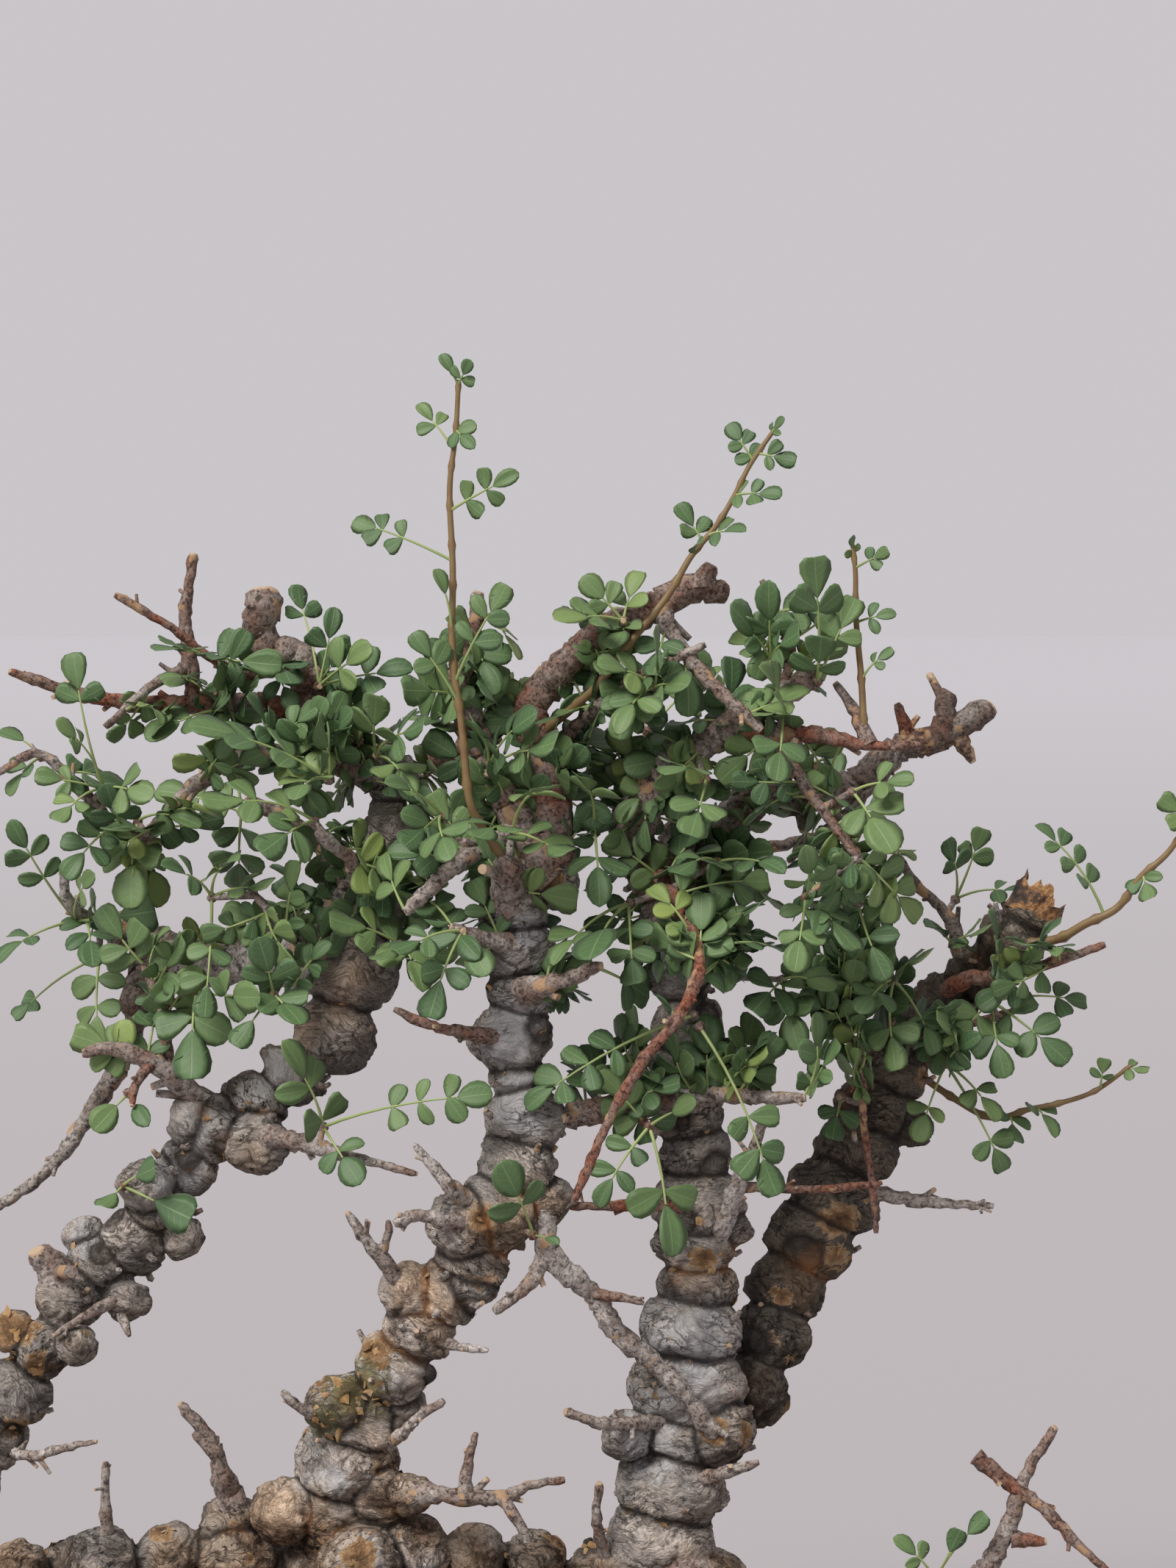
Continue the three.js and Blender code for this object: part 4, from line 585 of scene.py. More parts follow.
def dimmed(tree, factor, color, tint):  # the color times the tint, where the factor says so
    return mixColor(tree, factor, color, mixColor(tree, 1.0, color, tint, "MULTIPLY"))


def shaderGroup(name, inputs, outputs):
    tree = bpy.data.node_groups.new(name, "ShaderNodeTree")
    for label, (kind, value) in inputs.items():
        socket = tree.interface.new_socket(name=label, in_out="INPUT", socket_type="NodeSocket" + kind)
        if value is not None:
            socket.default_value = value
    for label, kind in outputs.items():
        tree.interface.new_socket(name=label, in_out="OUTPUT", socket_type="NodeSocket" + kind)
    return tree, tree.nodes.new("NodeGroupInput"), tree.nodes.new("NodeGroupOutput")


def useGroup(tree, group, **values):
    node = tree.nodes.new("ShaderNodeGroup")
    node.node_tree = group
    for key, value in values.items():
        setSocket(tree, node.inputs[key], value)
    return node


def attribute(tree, name, output="Fac"):
    return addNode(tree, "ShaderNodeAttribute", {"attribute_name": name}).outputs[output]


# Fibrous bark: streaks that ring each swelling, cracks, dark specks, pale chalky patches
barkLook = {
    "base": [(0.3, (0.185, 0.168, 0.157)), (0.72, (0.8, 0.75, 0.705)), (0.43, (0.385, 0.357, 0.34)),
             (0.57, (0.6, 0.53, 0.475))],
    "streak": [(0.34, (0.3, 0.28, 0.26)), (0.62, (1.22, 1.21, 1.2)), (0.48, (0.82, 0.8, 0.78))],
    "streakStretch": (330, 330, 1150), "crackStretch": (95, 95, 260), "crack": (0.06, 0.052, 0.046),
    "chalk": ((0.4, 0.39, 0.39), (0.72, 0.71, 0.71)), "speck": (0.03, 0.03, 0.033),
    "warm": (1.0, 0.8, 0.6), "shaded": (0.3, 0.27, 0.225), "blotch": (0.36, 0.29, 0.235),
    "worn": [(0.24, (0.66, 0.58, 0.48)), (0.85, (0.09, 0.055, 0.035)), (0.38, (0.55, 0.41, 0.26)),
             (0.54, (0.37, 0.21, 0.1))],
    # crease: colours of the painted shade in the grooves between swellings
    "moss": ((0.09, 0.085, 0.035), (0.24, 0.22, 0.11)), "crease": ((0.05, 0.04, 0.034), (0.3, 0.13, 0.045)),
    "roughness": 0.78, "specular": 0.32, "bump": 0.75, "bumpDepth": 0.0018,
}


def makeBarkGroup():
    tree, given, out = shaderGroup("barkPattern", {
        "Vector": ("Vector", None), "Ring": ("Vector", None), "Chalk": ("Float", 0.0),
        "Specks": ("Float", 1.0),
    }, {"Color": "Color", "Height": "Float"})
    place = given.outputs["Vector"]
    sway = addNode(tree, "ShaderNodeTexNoise", Vector=place, Scale=55.0, Detail=2.0).outputs["Color"]
    bent = vectorNode(tree, "MULTIPLY_ADD", sway, at1=(0.0, 0.0, 0.02), at2=given.outputs["Ring"])
    fibres = cloud(tree, stretched(tree, bent, barkLook["streakStretch"]), 1, 4, 0.68, 1.3)
    base = ramp(tree, cloud(tree, place, 30, 5, 0.62), barkLook["base"])
    color = mixColor(tree, 1.0, base, ramp(tree, fibres, barkLook["streak"]), "MULTIPLY")

    chalkNoise = cloud(tree, place, 42, 6, 0.68, 0.5)
    chalky = maskRamp(tree, plus(tree, chalkNoise, times(tree, given.outputs["Chalk"], 0.42)), 0.62, 0.74)
    color = mixColor(tree, times(tree, chalky, 0.8), color, mixColor(tree, fibres, *barkLook["chalk"]))

    field = cloud(tree, place, 52, 3)
    speck = maskRamp(tree, cloud(tree, place, 520, 3, 0.72), 0.56, 0.63)
    dark = times(tree, times(tree, speck, maskRamp(tree, field, 0.42, 0.6)), given.outputs["Specks"])
    color = mixColor(tree, times(tree, dark, 0.9), color, barkLook["speck"])

    scales = addNode(tree, "ShaderNodeTexVoronoi", {"feature": "DISTANCE_TO_EDGE"}, Scale=1.0,
                     Vector=stretched(tree, bent, barkLook["crackStretch"])).outputs["Distance"]
    ragged = times(tree, minus(tree, fibres, 0.5), 0.35)
    crack = minus(tree, 1.0, maskRamp(tree, plus(tree, scales, ragged), 0.0, 0.075))
    crack = times(tree, crack, maskRamp(tree, field, 0.4, 0.55))
    color = mixColor(tree, times(tree, crack, 0.6), color, barkLook["crack"])
    tree.links.new(color, out.inputs["Color"])

    height = plus(tree, fibres, times(tree, cloud(tree, place, 1100, 2, 0.7), 0.5))
    height = minus(tree, height, times(tree, crack, 0.7))
    tree.links.new(minus(tree, height, times(tree, dark, 0.3)), out.inputs["Height"])
    return tree


barkPattern = makeBarkGroup()


def makeBark(name, specks):
    made, tree, shader, place = material(name)
    bark = useGroup(tree, barkPattern, Vector=place, Ring=attribute(tree, "ring", "Vector"),
                    Chalk=attribute(tree, "pale"), Specks=specks)
    low = attribute(tree, "low")
    warm = cloud(tree, place, 24, 3)
    stained = maskRamp(tree, plus(tree, warm, times(tree, low, 0.1)), 0.5, 0.7)
    color = dimmed(tree, times(tree, stained, 0.85), bark.outputs["Color"], barkLook["warm"])
    # painted shade: the shade attribute darkens the bark towards the shaded tint
    color = dimmed(tree, attribute(tree, "shade"), color, barkLook["shaded"])
    blotch = cloud(tree, place, 33, 5, 0.7, 0.8)
    blotchy = maskRamp(tree, plus(tree, blotch, times(tree, low, 0.11)), 0.555, 0.67)
    color = dimmed(tree, times(tree, blotchy, 0.8), color, barkLook["blotch"])

    flaky = cloud(tree, place, 330, 5, 0.7)
    ragged = times(tree, minus(tree, cloud(tree, place, 150, 6, 0.74, 0.6), 0.5), 2.1)
    wornField = maskRamp(tree, cloud(tree, place, 52, 3, 0.6), 0.59, 0.72)
    worn = times(tree, wornField, plus(tree, 0.5, times(tree, low, 0.5)))
    scar = plus(tree, mathNode(tree, "MAXIMUM", attribute(tree, "scar"), worn), ragged)
    tan = ramp(tree, plus(tree, times(tree, scar, 0.5), times(tree, flaky, 0.5)), barkLook["worn"])
    color = mixColor(tree, maskRamp(tree, scar, 0.3, 0.4), color, tan)

    moss = maskRamp(tree, plus(tree, attribute(tree, "moss"), ragged), 0.25, 0.6)
    color = mixColor(tree, times(tree, moss, 0.8), color, mixColor(tree, flaky, *barkLook["moss"]))
    # painted shade in the grooves where two swellings meet, in a dark or a warm brown tone
    crease = maskRamp(tree, plus(tree, attribute(tree, "crease"), times(tree, ragged, 0.2)), 0.3, 0.95)
    creaseShadeTone = mixColor(tree, maskRamp(tree, warm, 0.55, 0.68), *barkLook["crease"])
    color = mixColor(tree, times(tree, crease, 0.85), color, creaseShadeTone)
    dress(tree, shader, color, barkLook["roughness"], barkLook["specular"], barkLook["bump"],
          barkLook["bumpDepth"], bark.outputs["Height"])
    return made


stemBark = makeBark("stemBark", 1.0)
twigLook = {
    "tone": [(0.0, (0.5, 0.465, 0.44)), (1.0, (0.27, 0.1, 0.06)), (0.35, (0.3, 0.25, 0.222)),
             (0.7, (0.24, 0.15, 0.118))],
    "streak": [(0.37, (0.22, 0.2, 0.19)), (0.6, (1.3, 1.27, 1.25)), (0.48, (0.8, 0.77, 0.75))],
    "shaded": (0.3, 0.27, 0.24), "spot": (0.5, 0.31, 0.17), "cut": (0.55, 0.4, 0.27),
}


def makeTwigBark():  # weathered grey or red-brown, with pale broken ends
    made, tree, shader, place = material("twigBark")
    fine = cloud(tree, place, 620, 4, 0.7, 0.6)
    broad = times(tree, minus(tree, cloud(tree, place, 70, 4, 0.65), 0.5), 2.0)
    color = ramp(tree, plus(tree, attribute(tree, "tint"), broad), twigLook["tone"])
    color = mixColor(tree, 1.0, color, ramp(tree, fine, twigLook["streak"]), "MULTIPLY")
    # painted shade from the shade attribute
    color = dimmed(tree, attribute(tree, "shade"), color, twigLook["shaded"])
    spots = maskRamp(tree, cloud(tree, place, 105, 3, 0.6), 0.6, 0.655)
    color = mixColor(tree, times(tree, spots, 0.8), color, twigLook["spot"])
    cut = plus(tree, attribute(tree, "cut"), times(tree, minus(tree, fine, 0.5), 1.2))
    color = mixColor(tree, maskRamp(tree, cut, 0.6, 0.8), color, twigLook["cut"])
    dress(tree, shader, color, 0.8, 0.3, 0.6, 0.0009, fine)
    return made


twigBark = makeTwigBark()

# Stems: balls in a row round a core, fused, then wrinkled
print("stems")
stemLook = {
    "neck": 0.66, "core": 0.8, "coreSides": 24, "belly": 1.07, "knob": 1.08, "warts": 4, "wart": (1.5, 3.9),
    "voxel": 0.00095, "patchReach": 1.6,
    "lumpHeight": 2.0, "wrinkleHeight": 0.9, "foldDepth": 1.0, "creaseDepth": 0.9, "creaseWidth": 1.3,
    # painted shade laid over whole stems, deepest on the leaning stem
    "shade": {"trunk": 0.25, "left": 0.25, "leaning": 0.88}, "low": {"left": 0.7, "right": 0.15},
    "lowStart": 190, "lowDepth": 60,
}
# Places that the weather has marked: across, up, radius
scars = [
    (-195, 48, 4), (-186, 106, 5), (-28, 237, 4), (40, 105, 4.5), (84, 106, 4.5), (85, 118, 5.5),
    (-195, 80, 7), (-79, 59, 7), (-78, 2, 7), (-36, 119, 5), (-188, 70, 4), (-92, 64, 4), (-62, 46, 3),
    (-145, 13, 4), (-72, 74, 5), (66, 92, 4), (43, 46, 4), (-4, 116, 4), (118, 168, 5),
]
mossPatches = [(-79, 60, 11), (-90, 50, 6)]
palePatches = [
    (-125, 6, 9), (-80, 4, 12), (-135, 12, 8), (-63, 71, 12), (-171, 113, 9), (34, 61, 14), (38, 76, 16),
    (-137, 133, 12), (-104, 176, 9), (-14, 200, 8), (24, 40, 12), (-127, 148, 27), (-26, 182, 13),
    (-22, 160, 10), (-22, 216, 7), (-90, 25, 9), (20, 52, 12), (-145, 142, 9),
]


def patchMask(piece, patches):  # how deep inside the patches each point of the front lies
    across, up = inView(coordinates(piece))
    facing = np.clip(-normals(piece)[:, 1] * 3, 0, 1)
    most, soft = np.zeros(len(across)), stemLook["patchReach"]
    for x, z, r in patches:
        away = np.hypot(across - x, up - z) / r
        most = np.maximum(most, np.clip((soft - away) / soft, 0, 1))
    return most * facing


def roundBall(center, radius, squash, axis, draw):
    ball = bmesh.new()
    bmesh.ops.create_icosphere(ball, subdivisions=3, radius=1.0)
    side = unit(np.cross(axis, (0.3, 0.8, 0.5)))
    other = np.cross(axis, side)
    turn = 40 * draw()
    verts = []
    for v in ball.verts:
        lump = 1 + 0.19 * noise.noise(v.co * 1.5 + Vector((turn, turn * 0.7, 3)))
        lump += 0.06 * noise.noise(v.co * 4.5 + Vector((turn,) * 3))
        x, y, z = v.co * radius * lump
        verts.append((np.array(center) + side * x + other * y + axis * z * squash) * mm)
    faces = [[v.index for v in f.verts] for f in ball.faces]
    ball.free()
    return verts, faces


def tube(points, radii, sides):
    verts, faces = [], []
    last = None
    for i, point in enumerate(points):
        along = unit(points[min(i + 1, len(points) - 1)] - points[max(i - 1, 0)])
        side = unit(np.cross(along, (0.2, 1, 0.1))) if last is None else unit(last - along * (last @ along))
        last = side
        other = np.cross(along, side)
        for k in range(sides):
            a = 2 * math.pi * k / sides
            verts.append((point + (side * math.cos(a) + other * math.sin(a)) * radii[i]) * mm)
    n = len(points)
    for i in range(n - 1):
        for k in range(sides):
            a, b = i * sides + k, i * sides + (k + 1) % sides
            faces.append((a, b, b + sides, a + sides))
    faces.append(tuple(range(sides - 1, -1, -1)))
    faces.append(tuple((n - 1) * sides + k for k in range(sides)))
    return verts, faces


def makeReliefTree():  # wrinkles that ring each swelling, lumps, folds, and a groove where two swellings meet
    tree, given, out = geometryTree("barkRelief", {
        "Lump Height": "Float", "Wrinkle Height": "Float", "Fold Depth": "Float", "Crease Depth": "Float",
        "Material": "Material",
    })
    lump = cloud(tree, tree.nodes.new("GeometryNodeInputPosition").outputs[0], 85, 2)
    ring = named(tree, "ring", "FLOAT_VECTOR")
    wrinkle = cloud(tree, vectorNode(tree, "MULTIPLY", ring, at1=(60.0, 60.0, 330.0)), 1, 2, 0.55, 0.7)
    fold = cloud(tree, vectorNode(tree, "MULTIPLY", ring, at1=(48.0, 48.0, 105.0)), 1, 1, 0.5, 1.1)
    push = plus(tree, times(tree, minus(tree, lump, 0.5), given.outputs["Lump Height"]),
                times(tree, minus(tree, wrinkle, 0.5), given.outputs["Wrinkle Height"]))
    groove = minus(tree, 1.0, times(tree, mathNode(tree, "ABSOLUTE", minus(tree, fold, 0.5)), 16.0))
    groove = times(tree, mathNode(tree, "MAXIMUM", groove, 0.0), given.outputs["Fold Depth"])
    push = minus(tree, push, groove)
    push = minus(tree, push, times(tree, named(tree, "crease"), given.outputs["Crease Depth"]))
    return pushed(tree, given, out, given.outputs["Geometry"], plus(tree, push, named(tree, "rim")))


barkRelief = makeReliefTree()
stemOfKnob = []
for knob in knobs:
    where = np.array(seen(knob))
    stemOfKnob.append(min(stems, key=lambda s: min(np.linalg.norm(where - seen(w)) - w[3] for w in stems[s])))


def makeStem(name, swellings):
    draw = drawsFrom(50 + len(name))
    verts, faces, balls = [], [], []

    def add(more):
        shift = len(verts)
        verts.extend(more[0])
        faces.extend([tuple(i + shift for i in f) for f in more[1]])

    def addBall(center, radius, squash, axis):
        add(roundBall(center, radius, squash, axis, draw))
        balls.append((center, radius, axis))

    centers = [seen(s) for s in swellings]
    stations, radii = [], []
    for i, s in enumerate(swellings):
        if i:
            share = swellings[i - 1][3] / (swellings[i - 1][3] + s[3])
            stations.append(centers[i - 1] * (1 - share) + centers[i] * share)
            radii.append(stemLook["neck"] * min(swellings[i - 1][3], s[3]))
        stations.append(centers[i])
        radii.append(stemLook["core"] * s[3])
    add(tube(stations, radii, stemLook["coreSides"]))
    for i, s in enumerate(swellings):
        along = unit(centers[min(i + 1, len(centers) - 1)] - centers[max(i - 1, 0)])
        gap = np.linalg.norm(centers[min(i + 1, len(centers) - 1)] - centers[max(i - 1, 0)]) / 2
        squash = min(1.0, max(0.6, 0.84 * gap / s[3])) if 0 < i < len(swellings) - 1 else 0.75
        tilt = unit(along + 0.55 * anyWay(draw))
        addBall(centers[i], stemLook["belly"] * s[3], squash, tilt)
        out = unit(np.cross(along, anyWay(draw)))
        size = s[3] * (0.55 + 0.2 * draw())  # one bulge beside each swelling
        bulge = centers[i] + out * (s[3] * 1.0 - size * 0.86) + along * s[3] * 0.5 * (draw() - 0.5)
        addBall(bulge, size, 0.85, unit(out + along))
        for wart in range(stemLook["warts"]):
            facing = unit(anyWay(draw))
            size = between(*stemLook["wart"], draw() ** 2)
            depth = s[3] * 0.98 * (squash + (1 - squash) * (1 - abs(facing @ along)))
            add(roundBall(centers[i] + facing * depth, size, 1.1, facing, draw))
    for knob, owner in zip(knobs, stemOfKnob):
        if owner == name:
            stretch = unit(np.array([draw() - 0.5, draw() - 0.5, 0.8]))
            addBall(seen(knob), stemLook["knob"] * knob[3], 0.86, stretch)
    piece = meshObject(name + "Stem", verts, faces)
    fuse = piece.modifiers.new("fuse", "REMESH")
    fuse.mode = "VOXEL"
    fuse.voxel_size = stemLook["voxel"] * 1
    appliedMesh(piece)
    places = coordinates(piece)
    reach = np.stack([np.linalg.norm(places - c, axis=1) / r for c, r, axis in balls], axis=1)
    order = np.argsort(reach, axis=1)
    near, second = order[:, 0], order[:, 1]
    rows = np.arange(len(places))
    sizes = np.array([r for c, r, axis in balls])
    meeting = (reach[rows, second] - reach[rows, near]) * sizes[near] / 2
    crease = np.clip(1 - meeting / stemLook["creaseWidth"], 0, 1) * np.clip(sizes[second] / 9, 0.3, 1)
    markPoints(piece, "crease", crease)
    ring = np.zeros((len(places), 3))
    for i, (center, radius, axis) in enumerate(balls):
        mine = near == i
        side = unit(np.cross(axis, (0.3, 0.8, 0.5)))
        frame3 = np.stack([side, np.cross(axis, side), axis], axis=1)
        ring[mine] = ((places[mine] - center) @ frame3 + 37.0 * i) * mm
    markPoints(piece, "ring", ring, "FLOAT_VECTOR")
    across, up = inView(places)
    front = np.clip(-normals(piece)[:, 1] * 3, 0, 1)
    rim = np.zeros(len(places))
    for x, z, r in scars:  # a healed cut has a raised ring round a hollow
        away = np.hypot(across - x, up - z) / r
        ridge, hollow = 0.9 * np.exp(-(((away - 0.85) / 0.3) ** 2)), 1.1 * np.exp(-((away / 0.5) ** 2))
        rim += (ridge - hollow) * min(r / 6, 1) * front
    markPoints(piece, "rim", rim * mm)
    madePlain(piece, barkRelief, {
        "Lump Height": stemLook["lumpHeight"] * mm, "Wrinkle Height": stemLook["wrinkleHeight"] * mm,
        "Fold Depth": stemLook["foldDepth"] * mm, "Crease Depth": stemLook["creaseDepth"] * mm,
        "Material": stemBark,
    })
    smooth(piece)
    markPoints(piece, "scar", patchMask(piece, scars))
    markPoints(piece, "moss", patchMask(piece, mossPatches))
    markPoints(piece, "pale", patchMask(piece, palePatches))
    low = np.clip((stemLook["lowStart"] - coordinates(piece)[:, 2]) / stemLook["lowDepth"], 0, 1)
    markPoints(piece, "low", low * stemLook["low"].get(name, 1.0))
    under = np.clip(-0.15 - normals(piece)[:, 2], 0, 1)  # painted shade: lower sides darker, and some whole stems darker
    markPoints(piece, "shade", np.clip(stemLook["shade"].get(name, 0.0) + 0.7 * under, 0, 1))
    return piece


stemPieces = []
for stemName, swellings in stems.items():
    stemPiece = makeStem(stemName, swellings)
    finish(stemPiece, "bark", "wood")
    stemPieces.append(stemPiece)
    print(stemName, len(stemPiece.data.polygons))

# Branches, dead twigs and roots: ridged rods along their runs
print("branches")
branchLook = {
    "sides": 9, "step": 1.8, "ridge": 0.5, "knuckle": 0.26, "flare": 0.35, "wander": 0.35,
    "stubsPerSwelling": 2,
    "redTips": [(175, 211), (-2, 126), (94, 123), (-161, 331), (-196, 304), (-60, 304), (105, 285)],
}


def makeRodTree():
    tree, given, out = geometryTree("ridgedRods", {"Sides": "Int", "Ridge Height": "Float",
                                                   "Material": "Material"})
    girth = named(tree, "girth")
    line = addNode(tree, "GeometryNodeMeshToCurve", Mesh=given.outputs["Geometry"])
    ring = addNode(tree, "GeometryNodeCurvePrimitiveCircle", Resolution=given.outputs["Sides"], Radius=1.0)
    swept = addNode(tree, "GeometryNodeCurveToMesh", Curve=line.outputs[0], Profile_Curve=ring.outputs[0],
                    Scale=girth, Fill_Caps=True)
    ridge = cloud(tree, tree.nodes.new("GeometryNodeInputPosition").outputs[0], 520, 2, 0.6, 0.4)
    push = times(tree, times(tree, minus(tree, ridge, 0.45), given.outputs["Ridge Height"]), girth)
    return pushed(tree, given, out, swept.outputs[0], push)


ridgedRods = makeRodTree()


def rods(name, runs, values):  # runs of (points, radii, tint); one piece of swept rods
    verts, edges, girths, tints, cuts = [], [], [], [], []
    for points, radii, tint in runs:
        start = len(verts)
        verts.extend([p * mm for p in points])
        edges.extend([(start + i, start + i + 1) for i in range(len(points) - 1)])
        girths.extend([r * mm for r in radii])
        tints.extend([tint] * len(points))
        cuts.extend([0] * (len(points) - 1) + [1 if (7 * len(edges)) % 10 < 4 else 0])
    piece = meshObject(name, verts, [], edges)
    markPoints(piece, "girth", girths)
    markPoints(piece, "tint", tints)
    markPoints(piece, "cut", cuts)
    madePlain(piece, ridgedRods, values)
    smooth(piece)
    return piece


def branchRun(first, last, run, draw):
    curve = Curve([seen(p) for p in run])
    steps = max(6, int(curve.length[-1] / branchLook["step"]))
    points = curve.spaced(steps)
    nodes = [draw() for _ in range(3 + int(curve.length[-1] / 14))]
    radii = []
    for i in range(steps + 1):
        u = i / steps
        r = first + (last - first) * u
        swell = max([math.exp(-(((u - n) * curve.length[-1] / (1.2 * r + 1)) ** 2)) for n in nodes])
        flare = branchLook["flare"] * math.exp(-u * curve.length[-1] / (1.5 * first))
        radii.append(r * (0.94 + branchLook["knuckle"] * swell + flare))
    for i in range(1, steps):
        points[i] = points[i] + anyWay(draw) * branchLook["wander"] * radii[i]
    radii[-1] *= 0.75
    return points, radii


def spurRun(point, along, size, draw):  # a short dead spur on a branch
    out = unit(np.cross(along, anyWay(draw)) + 0.4 * along)
    bend = anyWay(draw) * size
    return [point, point + out * size * 0.5 + bend * 0.2, point + out * size + bend * 0.5]


def branchTint(first, run, draw):  # 0 is weathered grey, 1 red-brown
    if any(math.hypot(run[-1][0] - x, run[-1][1] - z) < 14 for x, z in branchLook["redTips"]):
        return 0.8
    low = run[0][1] < 150 and run[0][0] < 110
    if low or first > 6:
        return 0.15 + 0.4 * draw()
    if first > 3.6:
        return 0.35 + 0.35 * draw()
    if first > 2.4:
        return 0.1 + 0.55 * draw()
    return 0.25 + 0.75 * draw()


twigDraw = drawsFrom(77)
branchRuns = []
for first, last, *run in roots + branches:
    points, radii = branchRun(first, last, run, twigDraw)
    tint = branchTint(first, run, twigDraw)
    branchRuns.append((points, radii, tint))
    if len(points) > 8 and first < 6:
        for k in range(int(len(points) * branchLook["step"] / 13)):
            i = 2 + int(twigDraw() * (len(points) - 4))
            length = radii[i] * (1.3 + 1.6 * twigDraw())
            spur = spurRun(points[i], unit(points[i + 1] - points[i - 1]), length + 1.2, twigDraw)
            branchRuns.append((spur, [radii[i] * 0.55, radii[i] * 0.4, radii[i] * 0.34], tint))
for swellings in stems.values():  # thorny stubs on the swellings
    for s in swellings:
        for k in range(branchLook["stubsPerSwelling"]):
            out = unit(np.array([twigDraw() - 0.5, twigDraw() - 0.5, 0.5 * twigDraw() - 0.25]))
            root = seen(s) + out * s[3] * 0.9
            length = 2.5 + 5 * twigDraw()
            stub = [root, root + out * length * 0.6, root + out * length + np.array([0, 0, 0.3 * length])]
            branchRuns.append((stub, [1.5, 1.1, 0.8], 0.1 + 0.4 * twigDraw()))
branchPiece = rods("branches", branchRuns, {"Sides": branchLook["sides"], "Ridge Height": branchLook["ridge"],
                                            "Material": twigBark})
# painted shade: rods deeper behind the middle plane are darker
markPoints(branchPiece, "shade", np.clip((coordinates(branchPiece)[:, 1] - 40) / 25, 0, 0.5))
finish(branchPiece, "bark", "wood")
print("branches", len(branchPiece.data.polygons))

# Leaves: placed on the same hubs and shoots as in the model, with all their leaflets
print("leaves")
leafLook = {
    "spread": math.radians(64), "spacing": 0.86, "endStalk": 0.28, "leastPetiole": 0.15, "sideSize": 0.86,
    "petiole": 0.5, "face": np.array([0, -0.75, 0.65]), "rowsOfBlade": 7, "cadHalfWidth": 0.37,
    "hubHeight": 4.5, "placings": 9,
    "tone": [(0.0, (0.056, 0.122, 0.046)), (1.0, (0.38, 0.47, 0.105)), (0.35, (0.105, 0.19, 0.072)),
             (0.7, (0.188, 0.285, 0.098))],
    "mottle": (0.05, 0.085, 0.045), "vein": (0.26, 0.38, 0.17), "margin": (0.28, 0.38, 0.18),
}


def ribFrame(start, end, size, roll):
    run = end - start
    length = max(np.linalg.norm(run), 1.1 * size)
    rib = unit(run)
    face = turned(leafLook["face"], rib, roll)
    across = unit(np.cross(rib, face))
    return length, rib, across, np.cross(across, rib)


# Of the drawn placings, the one that the model used
def chosenPlan(start, tip, leaflets, size, draw, corners):
    large = leaflets >= 5 or size >= 14
    kept = min(leaflets, 3) if large else 1
    broad = size * 1.25 if kept < leaflets else size
    best, least = None, 1e9
    for i in range(leafLook["placings"]):
        bend = 0 if i < 2 else 1.6 * i
        end = tip + anyWay(draw) * bend
        roll = 1.1 * (draw() - 0.5) * (1 + i / 4)
        arch = 0.06 + 0.1 * draw()
        length, rib, across, normal = ribFrame(start, end, broad, roll)
        away = 0.0
        for side in (-1, 1):
            x, y = side * leafLook["cadHalfWidth"] * broad, length - broad + 0.62 * broad
            a = y / length
            lift = arch * length * 4 * a * (1 - a) - 0.22 * abs(x)
            corner = start + across * x + rib * y + normal * lift
            away += np.min(np.linalg.norm(corners - corner, axis=1))
        away += np.min(np.linalg.norm(corners - (start + rib * length), axis=1))
        if away < least:
            best, least = (end, roll, arch), away
    return best, least


# A leaflet one unit long, with a map across and along it
def bladeObject(index, fullness, rise, swell, fold, curl, wave, notch):
    rows, widest = leafLook["rowsOfBlade"], rise / (rise + swell)
    verts, faces, maps = [], [], []

    def addPoint(u, v, side):
        wide = fullness * (v / widest) ** rise * ((1 - v) / (1 - widest)) ** swell
        height = fold * abs(u) * wide + curl * (v - 0.3) ** 2 + wave * math.sin(9 * v + 2 * u) * abs(u) * wide
        middle = 1 - abs(u)
        verts.append((u * wide, v - notch * middle * max(v - 0.75, 0), height + side * 0.016 * middle))
        maps.append((0.5 + 0.5 * u, v))

    stations = [0.5 - 0.5 * math.cos(math.pi * i / rows) for i in range(1, rows)]
    for v in stations:
        for u in (-1, -0.5, 0, 0.5, 1):
            addPoint(u, v, 1)
        addPoint(0, v, -1)
    base, tip = len(verts), len(verts) + 1
    addPoint(0, 0, 0)
    addPoint(0, 1, 0)
    for i in range(len(stations) - 1):
        a, b = 6 * i, 6 * i + 6
        for k in range(4):
            faces.append((a + k, a + k + 1, b + k + 1, b + k))
        faces.append((a, b, b + 5, a + 5))
        faces.append((a + 5, b + 5, b + 4, a + 4))
    last = 6 * (len(stations) - 1)
    for k in range(4):
        faces.append((base, k + 1, k))
        faces.append((last + k, last + k + 1, tip))
    faces += [(base, 0, 5), (base, 5, 4), (tip, last + 5, last), (tip, last + 4, last + 5)]
    blade = meshObject("leaflet%d" % index, verts, faces)
    layerMap = blade.data.uv_layers.new(name="blade")
    for loop in blade.data.loops:
        layerMap.data[loop.index].uv = maps[loop.vertex_index]
    smooth(blade)
    return blade


def kindBox(name, kinds):  # takes the kinds out of the scene, into a collection of their own
    box = bpy.data.collections.new(name)
    bpy.context.scene.collection.children.link(box)
    for kind in kinds:
        bpy.context.scene.collection.objects.unlink(kind)
        box.objects.link(kind)
    return box


def emptied(box):
    for kind in list(box.objects):
        bpy.data.objects.remove(kind)
    bpy.data.collections.remove(box)


